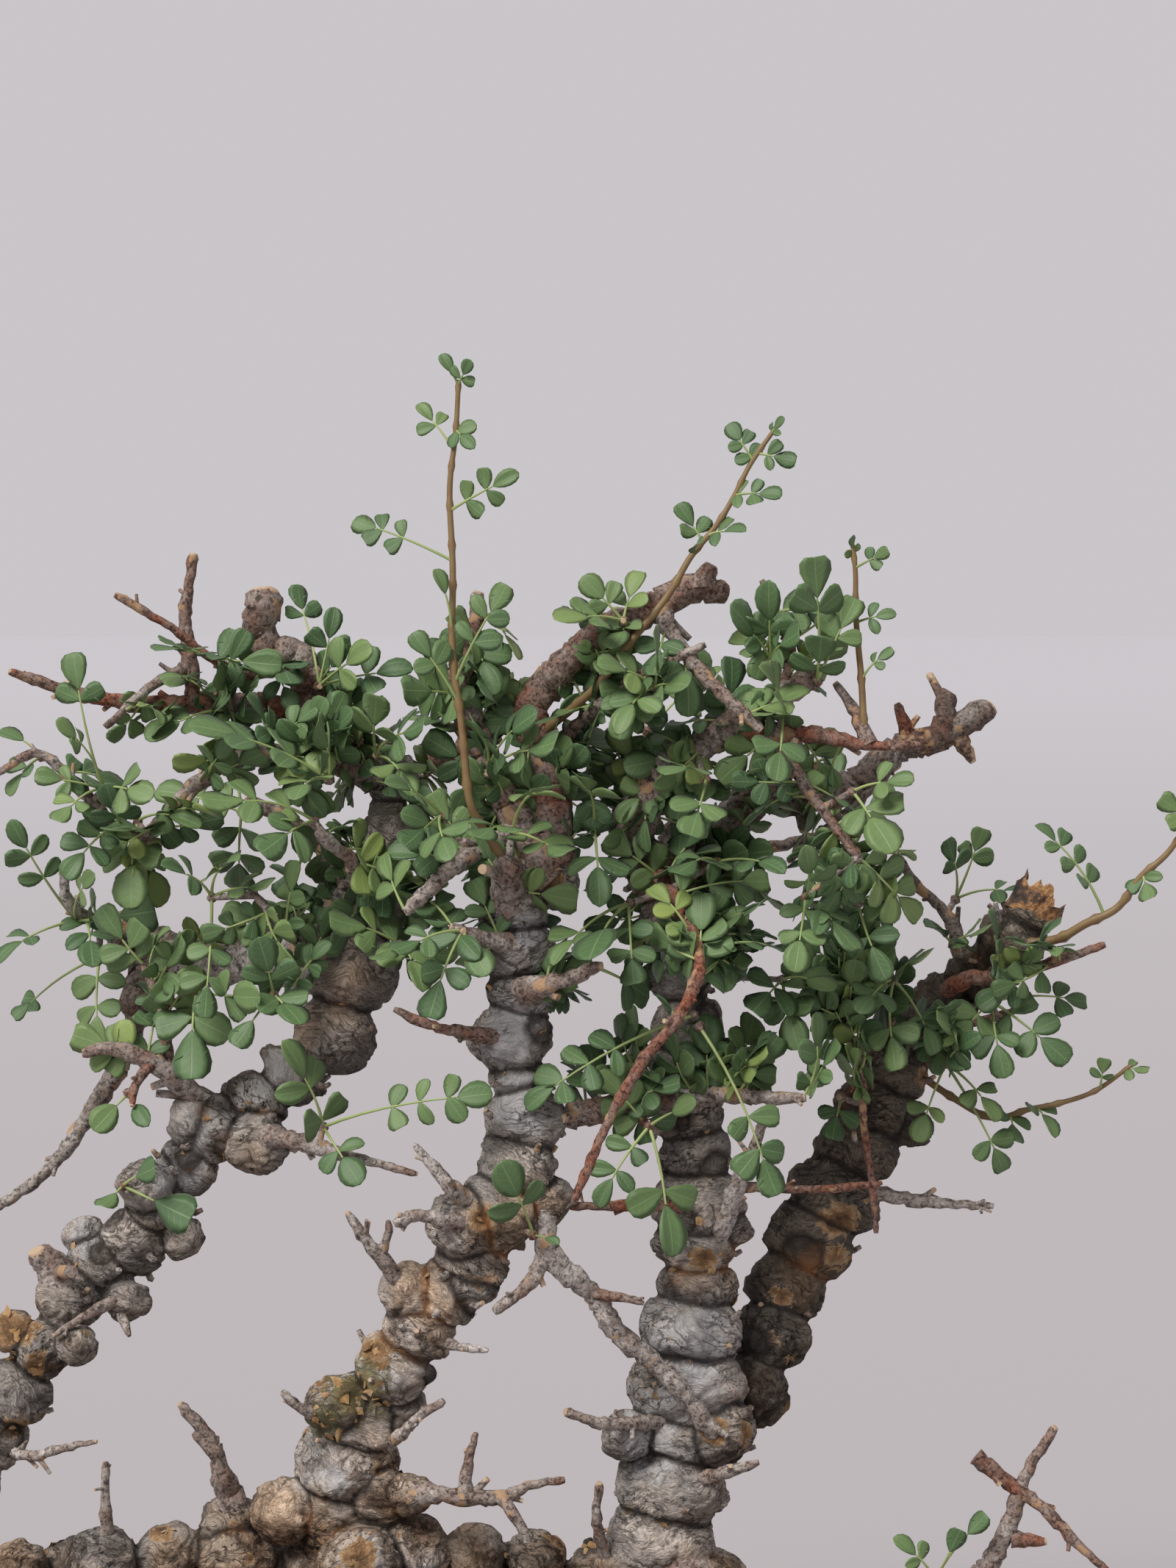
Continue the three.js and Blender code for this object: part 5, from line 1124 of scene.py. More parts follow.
# full width, taper of the foot and of the tip, fold, curl, wave, notch
bladeBox = kindBox("leafletKinds", [bladeObject(i, *shape) for i, shape in enumerate([
    (0.42, 0.7, 0.48, 0.16, -0.12, 0.02, 0), (0.36, 0.95, 0.42, 0.28, -0.2, 0.05, 0.05),
    (0.42, 1.0, 0.4, 0.08, 0.1, 0.06, 0.25), (0.31, 0.85, 0.5, 0.4, -0.28, 0.03, 0),
    (0.39, 0.8, 0.42, -0.1, 0.16, 0.08, 0.12),
])])


def makeKindsTree():
    tree, given, out = geometryTree("kindsOnPoints", {"Kinds": "Collection", "Material": "Material"})
    kinds = addNode(tree, "GeometryNodeCollectionInfo", Collection=given.outputs["Kinds"],
                    Separate_Children=True, Reset_Children=True)
    turn = addNode(tree, "FunctionNodeEulerToRotation", at0=named(tree, "turn", "FLOAT_VECTOR"))
    placed = addNode(tree, "GeometryNodeInstanceOnPoints", Points=given.outputs["Geometry"],
                     Instance=kinds.outputs[0], Pick_Instance=True, Instance_Index=named(tree, "kind", "INT"),
                     Rotation=turn.outputs[0], Scale=named(tree, "span"))
    return endTree(tree, given, out, placed.outputs[0])


kindsOnPoints = makeKindsTree()


# Each place has its point, turn, span and kind, and a leaflet's also has its tone
def kindsPlaced(name, places, box, made):
    piece = meshObject(name, [place[0] for place in places], [])
    layers = [("turn", "FLOAT_VECTOR"), ("span", "FLOAT"), ("kind", "INT"), ("tone", "FLOAT")]
    for i, (label, kind) in enumerate(layers[:len(places[0]) - 1]):
        markPoints(piece, label, [place[i + 1] for place in places], kind)
    madePlain(piece, kindsOnPoints, {"Kinds": box, "Material": made})
    return piece


def makeLeafMaterial():
    made, tree, shader, place = material("leafGreen")
    color = ramp(tree, attribute(tree, "tone"), leafLook["tone"])
    color = mixColor(tree, times(tree, cloud(tree, place, 160, 3), 0.35), color, leafLook["mottle"])
    blade = addNode(tree, "ShaderNodeUVMap", {"uv_map": "blade"}).outputs[0]
    across, v, _ = addNode(tree, "ShaderNodeSeparateXYZ", Vector=blade).outputs
    u = mathNode(tree, "ABSOLUTE", minus(tree, times(tree, across, 2.0), 1.0))
    midrib = minus(tree, 1.0, maskRamp(tree, u, 0.015, 0.07))
    comb = mathNode(tree, "PINGPONG", minus(tree, times(tree, v, 6.0), times(tree, u, 1.6)), 0.5)
    veins = times(tree, minus(tree, 1.0, maskRamp(tree, comb, 0.02, 0.1)), 0.4)
    veins = times(tree, veins, minus(tree, 1.0, maskRamp(tree, u, 0.5, 0.9)))
    lines = mathNode(tree, "MAXIMUM", midrib, veins)
    color = mixColor(tree, times(tree, lines, 0.45), color, leafLook["vein"])
    color = mixColor(tree, times(tree, maskRamp(tree, u, 0.9, 1.0), 0.5), color, leafLook["margin"])
    dress(tree, shader, color, 0.5, 0.4, 0.3, 0.0003, minus(tree, 1.0, lines))
    shader.inputs["Sheen Weight"].default_value = 0.06
    return made


leafGreen = makeLeafMaterial()


def makeStalkMaterial(name, pale, brown):
    made, tree, shader, place = material(name)
    mottle = cloud(tree, place, 240, 3)
    tone = plus(tree, attribute(tree, "tint"), times(tree, minus(tree, mottle, 0.5), 0.5))
    dress(tree, shader, ramp(tree, tone, [(0.0, brown), (1.0, pale)]), 0.5, 0.5, 0.2, 0.0004, mottle)
    return made


stalkGreen = makeStalkMaterial("stalkGreen", (0.42, 0.5, 0.2), (0.22, 0.31, 0.1))
shootBrown = makeStalkMaterial("shootBrown", (0.32, 0.3, 0.1), (0.19, 0.08, 0.045))

leafPoints = {"left": [], "middle": [], "right": []}
stalkRuns = []
worst = []


def addLeaf(part, start, end, roll, arch, leaflets, size, draw, tone):
    length, rib, across, normal = ribFrame(start, end, size, roll)
    pairs = (leaflets - 1) // 2
    stalk = leafLook["endStalk"] * size if pairs else 0
    spacing = leafLook["spacing"] * size
    lastPair = length - size - stalk
    if pairs > 1:
        spacing = min(spacing, max(lastPair - leafLook["leastPetiole"] * size, 0.3 * size) / (pairs - 1))

    def onRib(y):
        a = y / length
        return start + rib * y + normal * (arch * length * 4 * a * (1 - a))

    def slope(y):
        return unit(onRib(y + 0.5) - onRib(y - 0.5))

    ends = length - size
    ribPoints = [onRib(ends * i / 6) for i in range(7)]
    thick = leafLook["petiole"] * (0.7 + size / 40)
    stalkRuns.append((ribPoints, [thick * (1.25 - 0.6 * i / 6) for i in range(7)], 0.35 + 0.6 * draw()))

    def addBlade(base, direction, up, span, kindDraw):
        side = unit(np.cross(direction, up))
        up = np.cross(side, direction)
        turn = Matrix((side, direction, up)).transposed().to_euler()
        leafPoints[part].append((base * mm, tuple(turn), span * mm, int(kindDraw * 4.99),
                                 min(max(tone + 0.25 * (draw() - 0.5), 0), 1)))

    tilt = 0.35 * (draw() - 0.5)
    endSize = size * (1.0 + 0.1 * draw())
    addBlade(onRib(ends), turned(slope(ends), across, tilt), turned(normal, across, tilt), endSize, draw())
    for k in range(pairs):
        y = lastPair - (pairs - 1 - k) * spacing
        for side in (-1, 1):
            angle = leafLook["spread"] * (0.85 + 0.3 * draw())
            direction = unit(slope(y) * math.cos(angle) + across * side * math.sin(angle))
            lean = 0.5 * (draw() - 0.45)
            axis = unit(np.cross(direction, normal))
            direction = turned(direction, axis, -lean)
            up = turned(unit(np.cross(axis, direction)), direction, 0.5 * (draw() - 0.5))
            if up @ normal < 0:
                up = -up
            addBlade(onRib(y), direction, up, size * leafLook["sideSize"] * (0.85 + 0.25 * draw()), draw())


def partOf(place):  # the leaves are three pieces, side by side
    return "left" if place[0] < -20 else "middle" if place[0] < 75 else "right"


woodPoints = [(seen(s), s[3]) for swellings in stems.values() for s in swellings]
for first, last, *run in branches:
    steps = 6 * (len(run) - 1)
    for i, point in enumerate(Curve([seen(p) for p in run]).spaced(steps)):
        if i > 1:
            woodPoints.append((point, first + (last - first) * i / steps))
swellingCount = sum(len(swellings) for swellings in stems.values())
twigPlaces = np.array([p for p, r in woodPoints[swellingCount:]])
twigRadii = np.array([r for p, r in woodPoints[swellingCount:]])
woodPlaces = np.array([p for p, r in woodPoints])
woodRadii = np.array([r for p, r in woodPoints])


def hubOf(hub):  # the wood nearest to a hub, and the hub's own place clear of it
    center = seen(hub)
    away = np.linalg.norm(woodPlaces - center, axis=1) - woodRadii
    i = int(np.argmin(away))
    root, radius = woodPlaces[i], woodRadii[i]
    out = center - root
    clear = radius + leafLook["hubHeight"]
    if np.linalg.norm(out) < clear:
        if np.linalg.norm(out) < 1:
            out = np.array([0, -0.8, 0.6])
        center = root + unit(out) * clear
    return root, center


leafSeed = 1000
shootRuns, spurRuns = [], []
for shootName, ((first, last), run, leaves) in shoots.items():
    curve = Curve([seen(p) for p in run])
    corners = coordinates(bpy.data.objects[shootName])
    points = curve.spaced(max(20, int(curve.length[-1] / 2.2)))
    radii = [first + (last - first) * i / (len(points) - 1) for i in range(len(points))]
    for i in range(3, len(points) - 1, 6):
        radii[i] *= 1.35
    shootRuns.append((points, radii, 0.3))
    for share, across, up, deep, leaflets, size in leaves:
        draw = drawsFrom(leafSeed)
        leafSeed += 1
        start = curve.at(share)
        (end, roll, arch), off = chosenPlan(start, seen((across, up, deep)), leaflets, size, draw, corners)
        worst.append(off)
        fine = drawsFrom(leafSeed + 5000)
        addLeaf(partOf(end), start, end, roll, arch, leaflets, size, fine, 0.3 + 0.35 * share * fine())
for sprayName, (hub, *leaves) in sprays.items():
    root, center = hubOf(hub)
    corners = coordinates(bpy.data.objects[sprayName])
    spurRuns.append(([root, (root * 0.4 + center * 0.6), center], [1.5, 1.15, 1.0], 0.3))
    out = unit(center - root)
    spurRuns.append(([center - out * 2.0, center, center + out * 1.6], [1.0, 2.0, 0.8], 0.6))
    for across, up, deep, leaflets, size in leaves:
        draw = drawsFrom(leafSeed)
        leafSeed += 1
        (end, roll, arch), off = chosenPlan(center, seen((across, up, deep)), leaflets, size, draw, corners)
        worst.append(off)
        fine = drawsFrom(leafSeed + 5000)
        addLeaf(partOf(end), center, end, roll, arch, leaflets, size, fine, 0.2 + 0.5 * fine())

# The crown is dense: smaller leaves fill it between the named ones.
# Across, up, half width, half height, leaves
crownMasses = [
    (-88, 296, 66, 20, 26), (-135, 253, 55, 36, 26), (-45, 268, 66, 42, 72), (10, 285, 60, 34, 38),
    (25, 238, 70, 52, 104), (70, 306, 24, 18, 7), (62, 200, 56, 32, 52), (112, 176, 30, 24, 9),
    (20, 184, 46, 34, 22), (-70, 220, 45, 30, 22), (-155, 200, 30, 30, 6), (-118, 207, 34, 15, 10),
    (100, 235, 36, 30, 10), (150, 205, 20, 30, 5),
]
fillDraw = drawsFrom(404)
fillLook = {
    "reach": (15, 34), "usual": 24, "farthest": 48, "size": (8.5, 13.5), "clearance": 3.5, "deepSpread": 46,
}
for midAcross, midUp, halfAcross, halfUp, count in crownMasses:
    placed = 0
    for attempt in range(count * 6):
        if placed >= count:
            break
        around, out = 2 * math.pi * fillDraw(), math.sqrt(fillDraw())
        deep = fillLook["deepSpread"] * (fillDraw() - 0.55)
        across, up = midAcross + halfAcross * out * math.cos(around), midUp + halfUp * out * math.sin(around)
        goal = seen((across, up, deep))
        gaps = np.linalg.norm(twigPlaces - goal, axis=1)
        i = int(np.argmin(np.abs(gaps - fillLook["usual"])))
        run = goal - twigPlaces[i]
        far = np.linalg.norm(run)
        size = between(*fillLook["size"], fillDraw())
        if not fillLook["reach"][0] < far < fillLook["farthest"]:
            continue
        aim = unit(run + np.array([0, -6 * fillDraw(), 8 * fillDraw()]))
        end = twigPlaces[i] + aim * min(max(far, size * 1.5), fillLook["reach"][1])
        if np.min(np.linalg.norm(woodPlaces - end, axis=1) - woodRadii) < fillLook["clearance"]:
            continue
        start = twigPlaces[i] + unit(run) * twigRadii[i] * 0.7
        leaflets = 7 if far > 30 else 5 if fillDraw() < 0.75 else 3
        roll, arch, tone = 2.6 * (fillDraw() - 0.5), 0.05 + 0.16 * fillDraw(), 0.12 + 0.75 * fillDraw() ** 1.4
        addLeaf(partOf(end), start, end, roll, arch, leaflets, size, fillDraw, tone)
        placed += 1
    print("crown mass", midAcross, midUp, placed)
print("leaf placings off by at most", round(max(worst), 2), "median", round(float(np.median(worst)), 3))

leafNodes = list(sprays) + list(shoots)
for part, placed in leafPoints.items():
    piece = kindsPlaced(part + "Leaves", placed, bladeBox, leafGreen)
    smooth(piece)
    finish(piece, "leaves", *leafNodes)
    print(part, len(placed), "leaflets", len(piece.data.polygons), "faces")
emptied(bladeBox)

stalks = rods("leafStalks", stalkRuns, {"Sides": 6, "Ridge Height": 0.0, "Material": stalkGreen})
finish(stalks, "leaves", *leafNodes)
shootPiece = rods("shootStems", shootRuns, {"Sides": 8, "Ridge Height": 0.1, "Material": shootBrown})
finish(shootPiece, "shoots", *shoots)
spurPiece = rods("leafSpurs", spurRuns, {"Sides": 7, "Ridge Height": 0.5, "Material": twigBark})
finish(spurPiece, "leaves", *sprays)

# The broken top of the leaning stem: a jagged, hollow end
print("broken top")
stumpLook = {
    "sides": 22, "reach": 1.0, "wall": 0.12, "teeth": (1.5, 10.0), "sunk": 3.0, "splinters": 0.0011,
    "tone": [(0.36, (0.035, 0.028, 0.025)), (0.62, (0.58, 0.33, 0.15)), (0.48, (0.11, 0.07, 0.05)),
             (0.54, (0.38, 0.19, 0.08))],
}


def makeBrokenTop():
    draw = drawsFrom(15)
    below, end = stems["leaning"][-2], stems["leaning"][-1]
    axis = unit(seen(end) - seen(below))
    side = unit(np.cross(axis, (0.1, 1, 0.2)))
    other = np.cross(axis, side)
    center, radius, n = seen(end) + axis * end[3] * 0.35, end[3], stumpLook["sides"]
    verts, faces = [], []
    tooth = [between(*stumpLook["teeth"], draw() ** 1.5) for k in range(n)]
    reach = stumpLook["reach"]
    for ring, (share, low) in enumerate([(0.96, 1), (reach, 0), (reach - stumpLook["wall"], 0), (0.55, 1)]):
        for k in range(n):
            a = 2 * math.pi * k / n
            r = radius * share * (1 + 0.08 * math.sin(3 * a) + 0.06 * draw())
            rise = -stumpLook["sunk"] if low else end[3] * 0.3 + tooth[k] * (1 if ring == 1 else 0.7)
            verts.append((center + side * r * math.cos(a) + other * r * math.sin(a) + axis * rise) * mm)
    for ring in range(4):
        for k in range(n):
            a, b = ring * n + k, ring * n + (k + 1) % n
            c, d = (a + n) % (4 * n), (b + n) % (4 * n)
            faces.append((a, b, d, c))
    piece = meshObject("brokenTop", verts, faces)
    finer = piece.modifiers.new("finer", "SUBSURF")
    finer.subdivision_type = "SIMPLE"
    finer.levels = finer.render_levels = 2
    appliedMesh(piece)
    for vertex in piece.data.vertices:
        rough = [noise.noise(vertex.co * 300 + Vector((k * 9.0,) * 3)) for k in range(3)]
        vertex.co += Vector(rough) * stumpLook["splinters"]
    work = bmesh.new()
    work.from_mesh(piece.data)
    bmesh.ops.recalc_face_normals(work, faces=work.faces)
    work.to_mesh(piece.data)
    work.free()
    return piece


def makeBrokenWood():
    made, tree, shader, place = material("brokenWood")
    fine = cloud(tree, place, 500, 3, 0.7)
    tone = plus(tree, cloud(tree, place, 75, 5, 0.7), times(tree, minus(tree, fine, 0.5), 0.3))
    dress(tree, shader, ramp(tree, tone, stumpLook["tone"]), 0.85, 0.5, 0.7, 0.0012, fine)
    return made


brokenTop = makeBrokenTop()
brokenTop.data.materials.append(makeBrokenWood())
finish(brokenTop, "bark", "wood")

# Papery flakes that lift off the stems where the bark is worn
print("flakes")
flakeLook = {
    "count": {"trunk": 100, "left": 60, "middle": 80, "right": 36, "leaning": 10},
    "span": (1.5, 5.6), "sides": 7, "lift": 0.25, "where": {"scar": 0.7, "moss": 1.2, "crease": 0.2},
    "tone": [(0.34, (0.17, 0.085, 0.04)), (0.68, (0.46, 0.37, 0.27)), (0.5, (0.4, 0.235, 0.09))],
}


def flakeObject(index, seed):
    draw = drawsFrom(seed)
    around = flakeLook["sides"]
    verts, faces = [], []
    for side in (1, -1):
        verts.append((0, 0, 0.05 * side))
        for k in range(around):
            a = 2 * math.pi * k / around
            r = 0.22 + 0.42 * draw() if side == 1 else math.hypot(*verts[1 + k][:2])
            verts.append((r * math.cos(a), r * math.sin(a) * 0.8, 0.9 * r * r * math.cos(a) + 0.02 * side))
    for k in range(around):
        n = (k + 1) % around
        top, low = 1 + k, 2 + around + k
        nextTop, nextLow = 1 + n, 2 + around + n
        faces += [(0, top, nextTop), (1 + around, nextLow, low), (top, low, nextLow, nextTop)]
    return meshObject("flake%d" % index, verts, faces)


def makeFlakeMaterial():
    made, tree, shader, place = material("flakeTan")
    color = ramp(tree, cloud(tree, place, 130, 4, 0.7), flakeLook["tone"])
    tree.links.new(color, shader.inputs["Base Color"])
    shader.inputs["Roughness"].default_value = 0.7
    return made


flakeBox = kindBox("flakeKinds", [flakeObject(i, 900 + i) for i in range(4)])
flakeSpots = []
flakeDraw = drawsFrom(61)
for stemPiece, stemName in zip(stemPieces, stems):
    places, facing = coordinates(stemPiece), normals(stemPiece)
    worn = np.zeros(len(places))
    for label, weight in flakeLook["where"].items():
        layer = np.empty(len(places), np.float32)
        stemPiece.data.attributes[label].data.foreach_get("value", layer)
        worn += layer * weight
    chances = np.cumsum(worn ** 1.5)
    for k in range(flakeLook["count"][stemName]):
        i = int(np.searchsorted(chances, flakeDraw() * chances[-1]))
        up = unit(facing[i] + 0.5 * anyWay(flakeDraw))
        side = unit(np.cross(up, anyWay(flakeDraw)))
        turn = Matrix((side, np.cross(up, side), up)).transposed().to_euler()
        span = between(*flakeLook["span"], flakeDraw() ** 2)
        place = (places[i] + facing[i] * flakeLook["lift"]) * mm
        flakeSpots.append((place, tuple(turn), span * mm, int(flakeDraw() * 3.99)))
flakes = kindsPlaced("barkFlakes", flakeSpots, flakeBox, makeFlakeMaterial())
finish(flakes, "bark", "wood")
emptied(flakeBox)

# Pot
print("pot")
potLook = {
    "length": 384.0, "depth": 232.0, "height": 88.0, "wall": 8.0, "floor": 11.0, "foot": 9.0,
    "rimHeight": 11.0, "rimOverhang": 5.0, "taper": 16.0, "squareness": 2.9, "sides": 160, "edge": 1.5,
    "drainRadius": 8.0, "drainSpread": 96.0, "flat": 40, "grit": (0.06, 0.045, 0.036),
    "tone": [(0.3, (0.075, 0.055, 0.043)), (0.75, (0.2, 0.16, 0.13)), (0.5, (0.125, 0.097, 0.078))],
}


def ovalPoint(radius, angle):
    halfLength, halfDepth = potLook["length"] / 2, potLook["depth"] / 2
    short = radius - halfLength + halfDepth if radius > halfLength / 2 else radius * halfDepth / halfLength
    c, s, power = math.cos(angle), math.sin(angle), 2 / potLook["squareness"]
    return radius * math.copysign(abs(c) ** power, c), short * math.copysign(abs(s) ** power, s)


def ovalRings(name, profile, sides):
    verts, faces = [(0, 0, profile[0][1] * mm)], []
    for r, z in profile[1:-1]:
        for k in range(sides):
            x, y = ovalPoint(r, 2 * math.pi * k / sides)
            verts.append((x * mm, y * mm, z * mm))
    verts.append((0, 0, profile[-1][1] * mm))
    rings = len(profile) - 2
    for k in range(sides):
        n = (k + 1) % sides
        faces.append((0, 1 + n, 1 + k))
        for i in range(rings - 1):
            a = 1 + i * sides
            faces.append((a + k, a + n, a + sides + n, a + sides + k))
        a = 1 + (rings - 1) * sides
        faces.append((a + k, a + n, len(verts) - 1))
    return meshObject(name, verts, faces)


def makePot():
    height, edge, rim = potLook["height"], potLook["edge"], potLook["height"] - potLook["rimHeight"]
    outer, lean = potLook["length"] / 2, potLook["taper"] - potLook["rimOverhang"]
    belly, foot = outer - potLook["rimOverhang"], outer - potLook["taper"]
    inner, bottom = belly - potLook["wall"], foot - potLook["wall"]
    profile = [(0, 0), (potLook["flat"], 0), (bottom - 1, 0), (bottom + 0.6, 0.5),
               (foot - 0.4, potLook["foot"] - 1), (foot, potLook["foot"])]
    for i in range(1, 9):
        t = i / 9
        profile.append((foot + lean * t, potLook["foot"] + (rim - potLook["foot"]) * t))
    profile += [(belly, rim - 0.2), (belly + 0.6, rim + 0.1), (outer - 0.5, rim + 1), (outer, rim + 2),
                (outer, height - edge - 0.6), (outer - 0.4, height - 0.6), (outer - edge, height),
                (inner + 1, height), (inner, height - 1)]
    for i in range(1, 6):
        t = i / 5
        profile.append((inner - lean * t, height - (height - potLook["floor"]) * t))
    profile += [(potLook["flat"], potLook["floor"]), (0, potLook["floor"])]
    pot = ovalRings("potShell", profile, potLook["sides"])
    for side in (-1, 1):
        bpy.ops.mesh.primitive_cylinder_add(vertices=40, radius=potLook["drainRadius"] * mm, depth=0.05,
                                            location=(side * potLook["drainSpread"] * mm, 0, 0.005))
        drill = bpy.context.object
        cut = pot.modifiers.new("drain", "BOOLEAN")
        cut.operation = "DIFFERENCE"
        cut.object = drill
        cut.solver = "EXACT"
        appliedMesh(pot)
        bpy.data.objects.remove(drill)
    pot.data.polygons.foreach_set("use_smooth", [True] * len(pot.data.polygons))
    pot.data.set_sharp_from_angle(angle=math.radians(35))
    return pot


potPiece = makePot()
potClay, clayTree, clayShader, clayPlace = material("potClay")
clayBroad = cloud(clayTree, clayPlace, 22, 5, 0.65)
clayBands = cloud(clayTree, stretched(clayTree, clayPlace, (4, 4, 160)), 1.0, 3.0)
clayGrit = cloud(clayTree, clayPlace, 1400, 2)
clayColor = ramp(clayTree, clayBroad, potLook["tone"])
clayColor = mixColor(clayTree, times(clayTree, clayGrit, 0.5), clayColor, potLook["grit"])
clayHeight = plus(clayTree, clayGrit, times(clayTree, clayBands, 2.0))
dress(clayTree, clayShader, clayColor, maskRamp(clayTree, clayBroad, -0.3, 1.6), 0.5, 0.4, 0.0004, clayHeight)
potPiece.data.materials.clear()
potPiece.data.materials.append(potClay)
finish(potPiece, "pot_glaze", "pot")

# Soil: an uneven bed with loose grains over it
print("soil")
soilLook = {
    "edge": 80.0, "crown": 89.0, "gap": 0.4, "rings": 42, "sides": 120, "bumps": (0.0016, 0.0007),
    "grainSize": 1.9, "grainDensity": 42000.0, "grainsAbove": 79.7, "grainsFacing": 0.6,
    "damp": (0.04, 0.028, 0.02),
    "tone": [(0.0, (0.05, 0.035, 0.026)), (1.0, (0.24, 0.19, 0.14)), (0.5, (0.12, 0.08, 0.055)),
             (0.8, (0.17, 0.16, 0.15))],
}


def makeSoil():
    inner = potLook["length"] / 2 - potLook["rimOverhang"] - potLook["wall"]
    slope = (potLook["taper"] - potLook["rimOverhang"]) / (potLook["height"] - potLook["floor"])
    base, sides, rings = potLook["floor"] + 0.4, soilLook["sides"], soilLook["rings"]
    edge, crown = soilLook["edge"], soilLook["crown"]

    def inset(z):
        return inner - (potLook["height"] - z) * slope - soilLook["gap"]

    profile = [(0, base), (inset(base), base)] + [(inset(edge), edge - 1)] * rings + [(0, crown)]
    soil = ovalRings("soilBed", profile, sides)
    for i in range(rings):  # the top rings draw in evenly towards the middle
        t = i / rings
        for k in range(sides):
            vertex = soil.data.vertices[1 + (i + 1) * sides + k]
            vertex.co.x *= 1 - t
            vertex.co.y *= 1 - t
            vertex.co.z = (edge + (crown - edge) * math.sin(t * math.pi / 2)) * mm
            if i:
                broad, fine = soilLook["bumps"]
                bumps = broad * noise.noise(vertex.co * 60) + fine * noise.noise(vertex.co * 220)
                vertex.co.z += bumps * min(i / 4, 1)
    smooth(soil)
    return soil


soilPiece = makeSoil()
soilEarth, earthTree, earthShader, earthPlace = material("soilEarth")
earthCells = addNode(earthTree, "ShaderNodeTexVoronoi", Vector=earthPlace, Scale=420.0)
earthTone = addNode(earthTree, "ShaderNodeSeparateColor", Color=earthCells.outputs["Color"]).outputs[0]
earthColor = ramp(earthTree, earthTone, soilLook["tone"])
earthDamp = times(earthTree, cloud(earthTree, earthPlace, 300, 4), 0.6)
earthColor = mixColor(earthTree, earthDamp, earthColor, soilLook["damp"])
dress(earthTree, earthShader, earthColor, 0.95, 0.5, 0.8, 0.001, earthCells.outputs["Distance"])
soilPiece.data.materials.append(soilEarth)


def makeGrainTree():
    tree, given, out = geometryTree("soilGrains", {"Density": "Float", "Grain Size": "Float", "Seed": "Int",
                                                   "Material": "Material"})

    def above(source, least):
        parts = addNode(tree, "ShaderNodeSeparateXYZ", Vector=tree.nodes.new(source).outputs[0])
        return addNode(tree, "FunctionNodeCompare", {"operation": "GREATER_THAN"}, at0=parts.outputs[2],
                       at1=least).outputs[0]

    def drawn(least, most):
        return addNode(tree, "FunctionNodeRandomValue", {"data_type": "FLOAT_VECTOR"}, at0=least, at1=most,
                       Seed=given.outputs["Seed"]).outputs[0]

    high = above("GeometryNodeInputPosition", soilLook["grainsAbove"] * mm)
    level = above("GeometryNodeInputNormal", soilLook["grainsFacing"])
    both = addNode(tree, "FunctionNodeBooleanMath", {"operation": "AND"}, at0=high, at1=level)
    dots = addNode(tree, "GeometryNodeDistributePointsOnFaces", Mesh=given.outputs["Geometry"],
                   Selection=both.outputs[0], Density=given.outputs["Density"], Seed=given.outputs["Seed"])
    grain = addNode(tree, "GeometryNodeMeshIcoSphere", Radius=1.0, Subdivisions=1)
    turn = addNode(tree, "FunctionNodeEulerToRotation", at0=drawn((0, 0, 0), (6, 6, 6)))
    size = drawn((0.25, 0.25, 0.2), (0.75, 0.6, 0.5))
    placed = addNode(tree, "GeometryNodeInstanceOnPoints", Points=dots.outputs[0], Instance=grain.outputs[0],
                     Rotation=turn.outputs[0],
                     Scale=vectorNode(tree, "SCALE", size, Scale=given.outputs["Grain Size"]))
    return endTree(tree, given, out, placed.outputs[0])


grains = bpy.data.objects.new("soilGrains", soilPiece.data.copy())
bpy.context.scene.collection.objects.link(grains)
madePlain(grains, makeGrainTree(), {
    "Density": soilLook["grainDensity"], "Grain Size": soilLook["grainSize"] * mm, "Seed": 4,
    "Material": soilEarth,
})
print("grains", len(grains.data.polygons))
finish(soilPiece, "soil", "soil")
finish(grains, "soil", "soil")

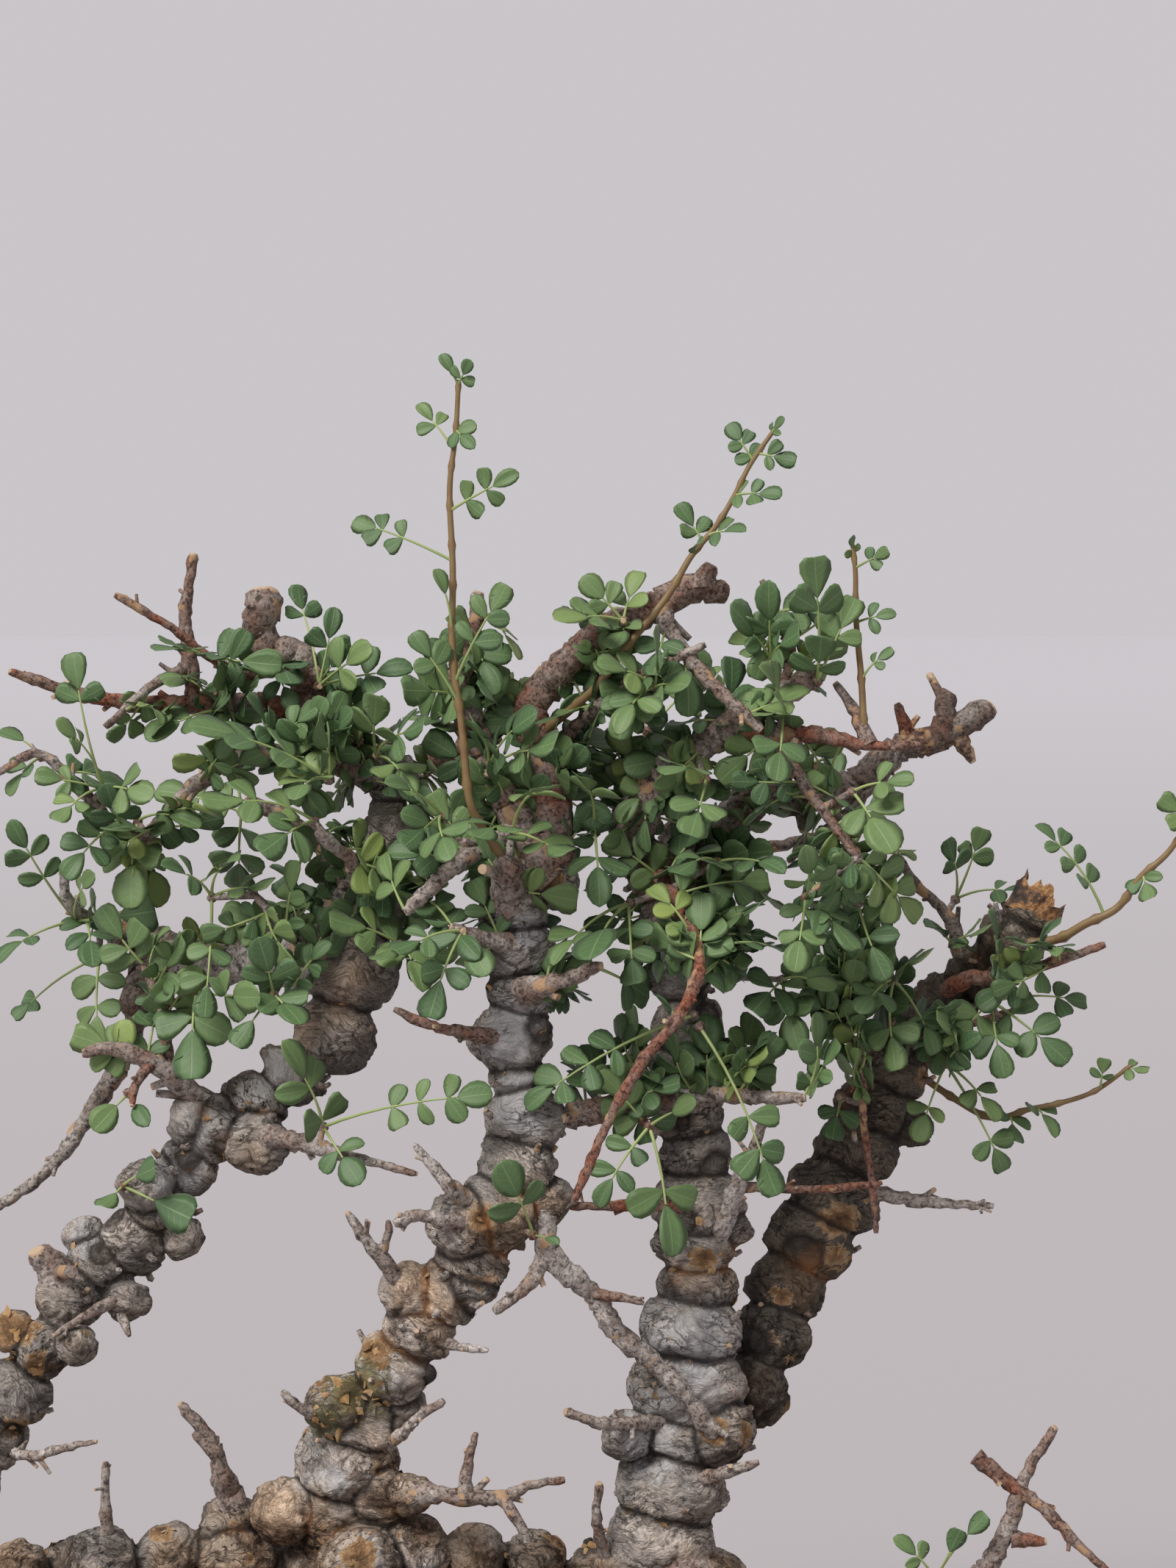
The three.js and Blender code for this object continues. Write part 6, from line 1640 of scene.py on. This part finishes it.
# Floor, light and camera
print("floor, light and camera")
stageLook = {
    "half": 12, "level": -0.0005, "near": (0.473, 0.449, 0.464), "far": (0.558, 0.549, 0.582),
    "fade": (0.0, 9.0),
    "backdrop": (0.588, 0.565, 0.588, 1), "lightOfBackdrop": 0.62, "sun": (1, 0.975, 0.945),
}
half, level = stageLook["half"], stageLook["level"]
floorCorners = [(-half, -half, level), (half, -half, level), (half, half, level), (-half, half, level)]
floor = meshObject("floor", floorCorners, [(0, 1, 2, 3)])
paleFloor, floorTree, floorShader, floorPlace = material("paleFloor")
floorDepth = addNode(floorTree, "ShaderNodeSeparateXYZ", Vector=floorPlace).outputs[1]
floorFade = maskRamp(floorTree, floorDepth, *stageLook["fade"])
floorTree.links.new(mixColor(floorTree, floorFade, stageLook["near"], stageLook["far"]),
                    floorShader.inputs["Base Color"])
floorShader.inputs["Roughness"].default_value = 0.9
floor.data.materials.append(paleFloor)

world = bpy.data.worlds.new("studio")
world.use_nodes = True
worldTree = world.node_tree
backdrop = worldTree.nodes["Background"]
backdrop.inputs[0].default_value = stageLook["backdrop"]
seenBySight = addNode(worldTree, "ShaderNodeLightPath").outputs["Is Camera Ray"]
strength = addNode(worldTree, "ShaderNodeMapRange", Value=seenBySight, To_Min=stageLook["lightOfBackdrop"],
                   To_Max=1.0)
worldTree.links.new(strength.outputs[0], backdrop.inputs[1])
bpy.context.scene.world = world
bpy.context.scene.view_settings.view_transform = "Standard"


lamp = bpy.data.lights.new("keyLight", "SUN")  # a broad, even light from far off
lamp.energy = 3.0
lamp.angle = math.radians(30)
lamp.color = stageLook["sun"]
keyLight = bpy.data.objects.new("keyLight", lamp)
keyLight.rotation_euler = Vector((0.5, 0.62, -0.9)).to_track_quat("-Z", "Y").to_euler()
bpy.context.scene.collection.objects.link(keyLight)

camera = bpy.data.objects.new("frontCamera", bpy.data.cameras.new("frontCamera"))
camera.data.sensor_fit = "HORIZONTAL"
camera.data.sensor_width = 24
camera.data.lens = 24 * frontView["distance"] / frontView["width"]
camera.data.clip_end = 60
camera.location = eye * mm
camera.rotation_euler = (math.pi / 2 - frontView["tilt"], 0, 0)
bpy.context.scene.collection.objects.link(camera)
bpy.context.scene.camera = camera
